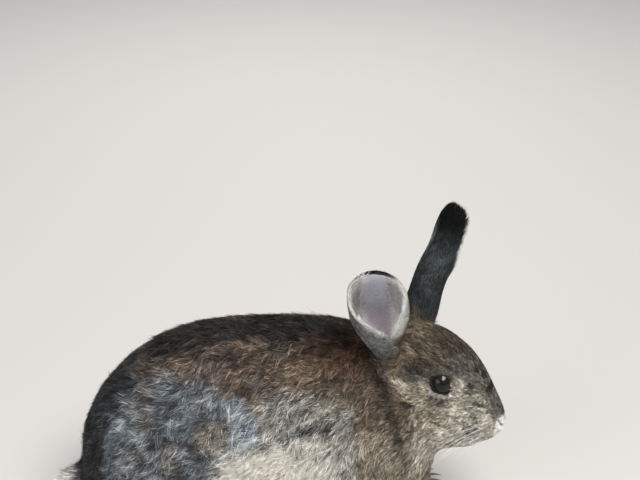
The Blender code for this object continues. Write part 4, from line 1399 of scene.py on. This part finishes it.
def finish_material(name, plain=None):
    """One of the finishes, over a plain colour or the colours painted on the mesh."""
    finish = FINISHES[name]
    made, tree, shader = new_material(name, finish.roughness, finish.specular)
    if plain:
        source = tree.nodes.new("ShaderNodeRGB").outputs[0]
        source.default_value = plain
    else:
        painted = tree.nodes.new("ShaderNodeAttribute")
        painted.attribute_name = "markings"
        source = painted.outputs["Color"]
    place = tree.nodes.new("ShaderNodeTexCoord")
    speck = new_node(tree, "ShaderNodeTexNoise", Scale=1.0 / (finish.grain * MM), Detail=3.0)
    tree.links.new(place.outputs["Object"], speck.inputs["Vector"])
    span = new_node(tree, "ShaderNodeMapRange", From_Min=0.3, From_Max=0.7,
                    To_Min=finish.darkest, To_Max=finish.lightest)
    tree.links.new(speck.outputs["Fac"], span.inputs["Value"])
    mixed = tree.nodes.new("ShaderNodeVectorMath")
    mixed.operation = "SCALE"
    tree.links.new(source, mixed.inputs[0])
    tree.links.new(span.outputs["Result"], mixed.inputs["Scale"])
    tree.links.new(mixed.outputs["Vector"], shader.inputs["Base Color"])
    if finish.relief:
        bump = new_node(tree, "ShaderNodeBump", Distance=finish.relief * MM, Strength=finish.strength)
        tree.links.new(speck.outputs["Fac"], bump.inputs["Height"])
        tree.links.new(bump.outputs["Normal"], shader.inputs["Normal"])
    return made


# ---- eyes and whiskers
IRIS = SimpleNamespace(inner=0.44, outer=0.80, colour=(0.008, 0.005, 0.004))
PUPIL_COLOUR = (0.002, 0.002, 0.003)
CORNEA_SWELL = 0.35
WHISKERS = SimpleNamespace(rows=4, columns=4, forward=-8.5, up=-3.0, column_step=3.6,
                           row_step=3.8, length=26.0, radius=0.10)


def make_eye(side, head):
    """A glossy dark eyeball with a pupil, an iris and a swelling cornea."""
    forward, upward, outward = eye_axes(side, head)
    rings, turns = 48, 64
    polar = np.linspace(0.0, np.pi, rings + 1)[1:-1]
    around = np.linspace(0.0, 2.0 * np.pi, turns, endpoint=False)
    angle, turn = np.meshgrid(polar, around, indexing="ij")
    radius = EYE_RADIUS + CORNEA_SWELL * ease(0.72, 0.25, angle)
    places = (np.sin(angle) * np.cos(turn))[..., None] * forward
    places = places + (np.sin(angle) * np.sin(turn))[..., None] * upward
    places = places + np.cos(angle)[..., None] * outward
    points = (places * radius[..., None]).reshape(-1, 3)
    poles = np.stack([outward * (EYE_RADIUS + CORNEA_SWELL), -outward * EYE_RADIUS])
    points = np.concatenate([points, poles]) + head.eyes[side]
    first = (rings - 1) * turns
    top = np.arange(turns)
    low = top + first - turns
    front = np.stack([np.full(turns, first), top, np.roll(top, -1)], axis=1)
    back = np.stack([np.full(turns, first + 1), np.roll(low, -1), low], axis=1)
    triangles = np.concatenate([tube_faces(rings - 1, turns)[:, ::-1], front, back])
    if OUTWARD[side] > 0.0:
        triangles = triangles[:, ::-1]
    flat = np.concatenate([angle.ravel(), [0.0, np.pi]])
    spin = np.concatenate([turn.ravel(), [0.0, 0.0]])
    pupil = np.array(PUPIL_COLOUR)
    iris = np.array(IRIS.colour)
    streaks = 1.0 + 0.35 * np.sin(spin * 37.0 + 3.0 * np.sin(spin * 5.0))
    share = ease(IRIS.inner - 0.10, IRIS.inner, flat) * ease(IRIS.outer + 0.18, IRIS.outer, flat)
    colour = pupil + (iris * streaks[:, None] - pupil) * share[:, None]
    made = write_mesh(f"eyeball_{side}", points, triangles)
    paint(made, colour)
    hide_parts(f"eye_{side}")
    return made


def tube(path, radii, sides=4):
    """A tapered thread along a path: points and triangles."""
    ahead = unit(np.gradient(path, axis=0))
    side = unit(np.cross(ahead, np.array([0.3, 0.2, 1.0])))
    other = np.cross(ahead, side)
    turn = np.linspace(0.0, 2.0 * np.pi, sides, endpoint=False)
    ring = np.cos(turn)[None, :, None] * side[:, None] + np.sin(turn)[None, :, None] * other[:, None]
    points = (path[:, None] + ring * radii[:, None, None]).reshape(-1, 3)
    return points, tube_faces(len(path), sides)


def make_whiskers(body, rng):
    """Fine pale whiskers, swept back and down from the muzzle."""
    head = body.head
    tree = BVHTree.FromPolygons(body.points.tolist(), body.triangles.tolist())
    whiskers = []
    share = np.linspace(0.0, 1.0, 9)[:, None]
    for side, row, column in product(OUTWARD.values(), range(WHISKERS.rows), range(WHISKERS.columns)):
        forward = WHISKERS.forward - WHISKERS.column_step * column + rng.normal(0.0, 0.8)
        up = WHISKERS.up - WHISKERS.row_step * row + rng.normal(0.0, 0.7)
        start = head.outside((forward, side * 40.0, up))
        aim = head.direction(0.0, -side, 0.0)
        hit = tree.ray_cast(Vector(start), Vector(aim))[0]
        if hit is None:
            continue
        reach = WHISKERS.length + 4.0 * column + rng.normal(0.0, 6.0)
        back = -0.62 + rng.normal(0.0, 0.12)
        fall = -0.34 - 0.14 * row + rng.normal(0.0, 0.10)
        sweep = unit(head.direction(back, side * (0.62 + rng.normal(0.0, 0.12)), fall))
        droop = np.array([0.0, 0.0, -7.0 - 4.0 * rng.random()])
        path = np.array(hit) + sweep * (reach * share - 0.6) + droop * share ** 2
        whiskers.append(tube(path, WHISKERS.radius * (1.0 - 0.8 * share[:, 0])))
    points, triangles = merged(whiskers)
    made = write_mesh("whiskers", points, triangles)
    paint(made, np.tile(linear("ear_fringe"), (len(points), 1)))
    return made


# ---- the claws
CLAW_ROOT = 5.5              # how far a claw reaches back into its toe
CLAW_RADIUS = 1.15


def make_claw(name, node):
    """A curved claw from inside its toe to the tip of its solid."""
    points, _ = read_mesh(node)
    forward = points[:, 0]
    root = points[forward < forward.min() + 0.8].mean(axis=0)
    tip = points[forward > forward.max() - 0.3].mean(axis=0)
    heading = unit((tip - root) * (1.0, 1.0, 0.0))
    start = root - heading * CLAW_ROOT + np.array([0.0, 0.0, 0.4])
    share = np.linspace(0.0, 1.0, 12)[:, None]
    path = start + (tip - start) * share
    path[:, 2] += 0.9 * np.sin(np.pi * share[:, 0])
    radii = CLAW_RADIUS * (1.0 - 0.86 * share[:, 0] ** 1.6)
    points, triangles = tube(path, radii, 10)
    last = len(points) - 10
    caps = [[0, index + 1, index] for index in range(1, 9)]
    caps += [[last, last + index, last + index + 1] for index in range(1, 9)]
    points[:, 2] = np.maximum(points[:, 2], LOWEST_EDGE)
    made = write_mesh(f"horn_{name}", points, np.concatenate([triangles, np.array(caps)]))
    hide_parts(name)
    return made


# ---- the stage
CAMERA_PLACE = (-0.0540, -0.7996, 0.6250)
CAMERA_TARGET = (0.0391, 0.0865, 0.1710)
CAMERA_LENS = 78.12
FLOOR_HALF = 4.0
LIGHTS_TARGET = (0.0, 0.0, 0.09)
# name: place and width in metres, power in watts, colour
LIGHTS = {
    "key": ((0.35, -0.65, 1.25), 0.7, 15.0, (1.0, 0.98, 0.95)),
    "fill": ((-0.9, -0.7, 0.6), 1.0, 5.0, (0.92, 0.96, 1.0)),
    "rim": ((0.1, 1.0, 0.9), 0.9, 6.0, (1.0, 1.0, 1.0)),
}


def aimed(thing, place, target):
    """Put a light or camera at a place, looking at another."""
    thing.location = place
    thing.rotation_euler = (Vector(target) - Vector(place)).to_track_quat("-Z", "Y").to_euler()


def area_light(name, place, size, power, colour):
    """A soft round light on the animal."""
    data = bpy.data.lights.new(name, "AREA")
    data.shape = "DISK"
    data.size = size
    data.energy = power
    data.color = colour
    aimed(new_object(name, data), place, LIGHTS_TARGET)


def make_stage():
    """A plain pale floor, soft light from above and in front, and the camera."""
    mesh = bpy.data.meshes.new("floor")
    ways = ((-1.0, -1.0), (1.0, -1.0), (1.0, 1.0), (-1.0, 1.0))
    corners = [(FLOOR_HALF * across, FLOOR_HALF * along, 0.0) for across, along in ways]
    mesh.from_pydata(corners, [], [(0, 1, 2, 3)])
    floor = new_object("floor", mesh)
    made, _, shader = new_material("floor_pale", 0.9, 0.2)
    shader.inputs["Base Color"].default_value = PALE_FLOOR
    mesh.materials.append(made)
    for name, settings in LIGHTS.items():
        area_light(name, *settings)
    world = bpy.data.worlds.new("studio")
    world.use_nodes = True
    sky = world.node_tree.nodes["Background"]
    sky.inputs["Color"].default_value = (0.82, 0.84, 0.86, 1.0)
    sky.inputs["Strength"].default_value = 0.55
    bpy.context.scene.world = world
    data = bpy.data.cameras.new("camera")
    data.lens = CAMERA_LENS
    camera = new_object("camera", data)
    aimed(camera, CAMERA_PLACE, CAMERA_TARGET)
    bpy.context.scene.camera = camera
    bpy.context.scene.view_settings.view_transform = "Standard"


def main():
    """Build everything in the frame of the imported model."""
    for old in list(bpy.data.objects):
        remove(old)
    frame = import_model()
    nodes = frame["nodes"]
    head = Head()
    ears = {side: Ear(side, head) for side in OUTWARD}
    body = Body(nodes, head, ears)
    paint(body.thing, skin_colours(body, marking_colours(body)))
    body.thing.data.materials.append(finish_material("skin_finish"))
    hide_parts(*[name for name in flesh_nodes(nodes) if not name.startswith("eye_")])
    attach(body.thing, "root")

    coat_finish = finish_material("coat_finish")
    for index, name in enumerate(COAT):
        piece = make_coat(name, body, np.random.default_rng(100 + index))
        piece.data.materials.append(coat_finish)
        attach(piece, "root")
    eye_finish = finish_material("eye_gloss")
    for side in OUTWARD:
        eye = make_eye(side, head)
        eye.data.materials.append(eye_finish)
        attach(eye, "root")
    whiskers = make_whiskers(body, np.random.default_rng(7))
    whiskers.data.materials.append(coat_finish)
    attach(whiskers, "root")
    horn = finish_material("claw_horn", HORN)
    for name in sorted(name for name in nodes if "_claw_" in name):
        claw = make_claw(name, nodes[name])
        claw.data.materials.append(horn)
        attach(claw, "root")
    make_stage()
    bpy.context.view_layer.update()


main()
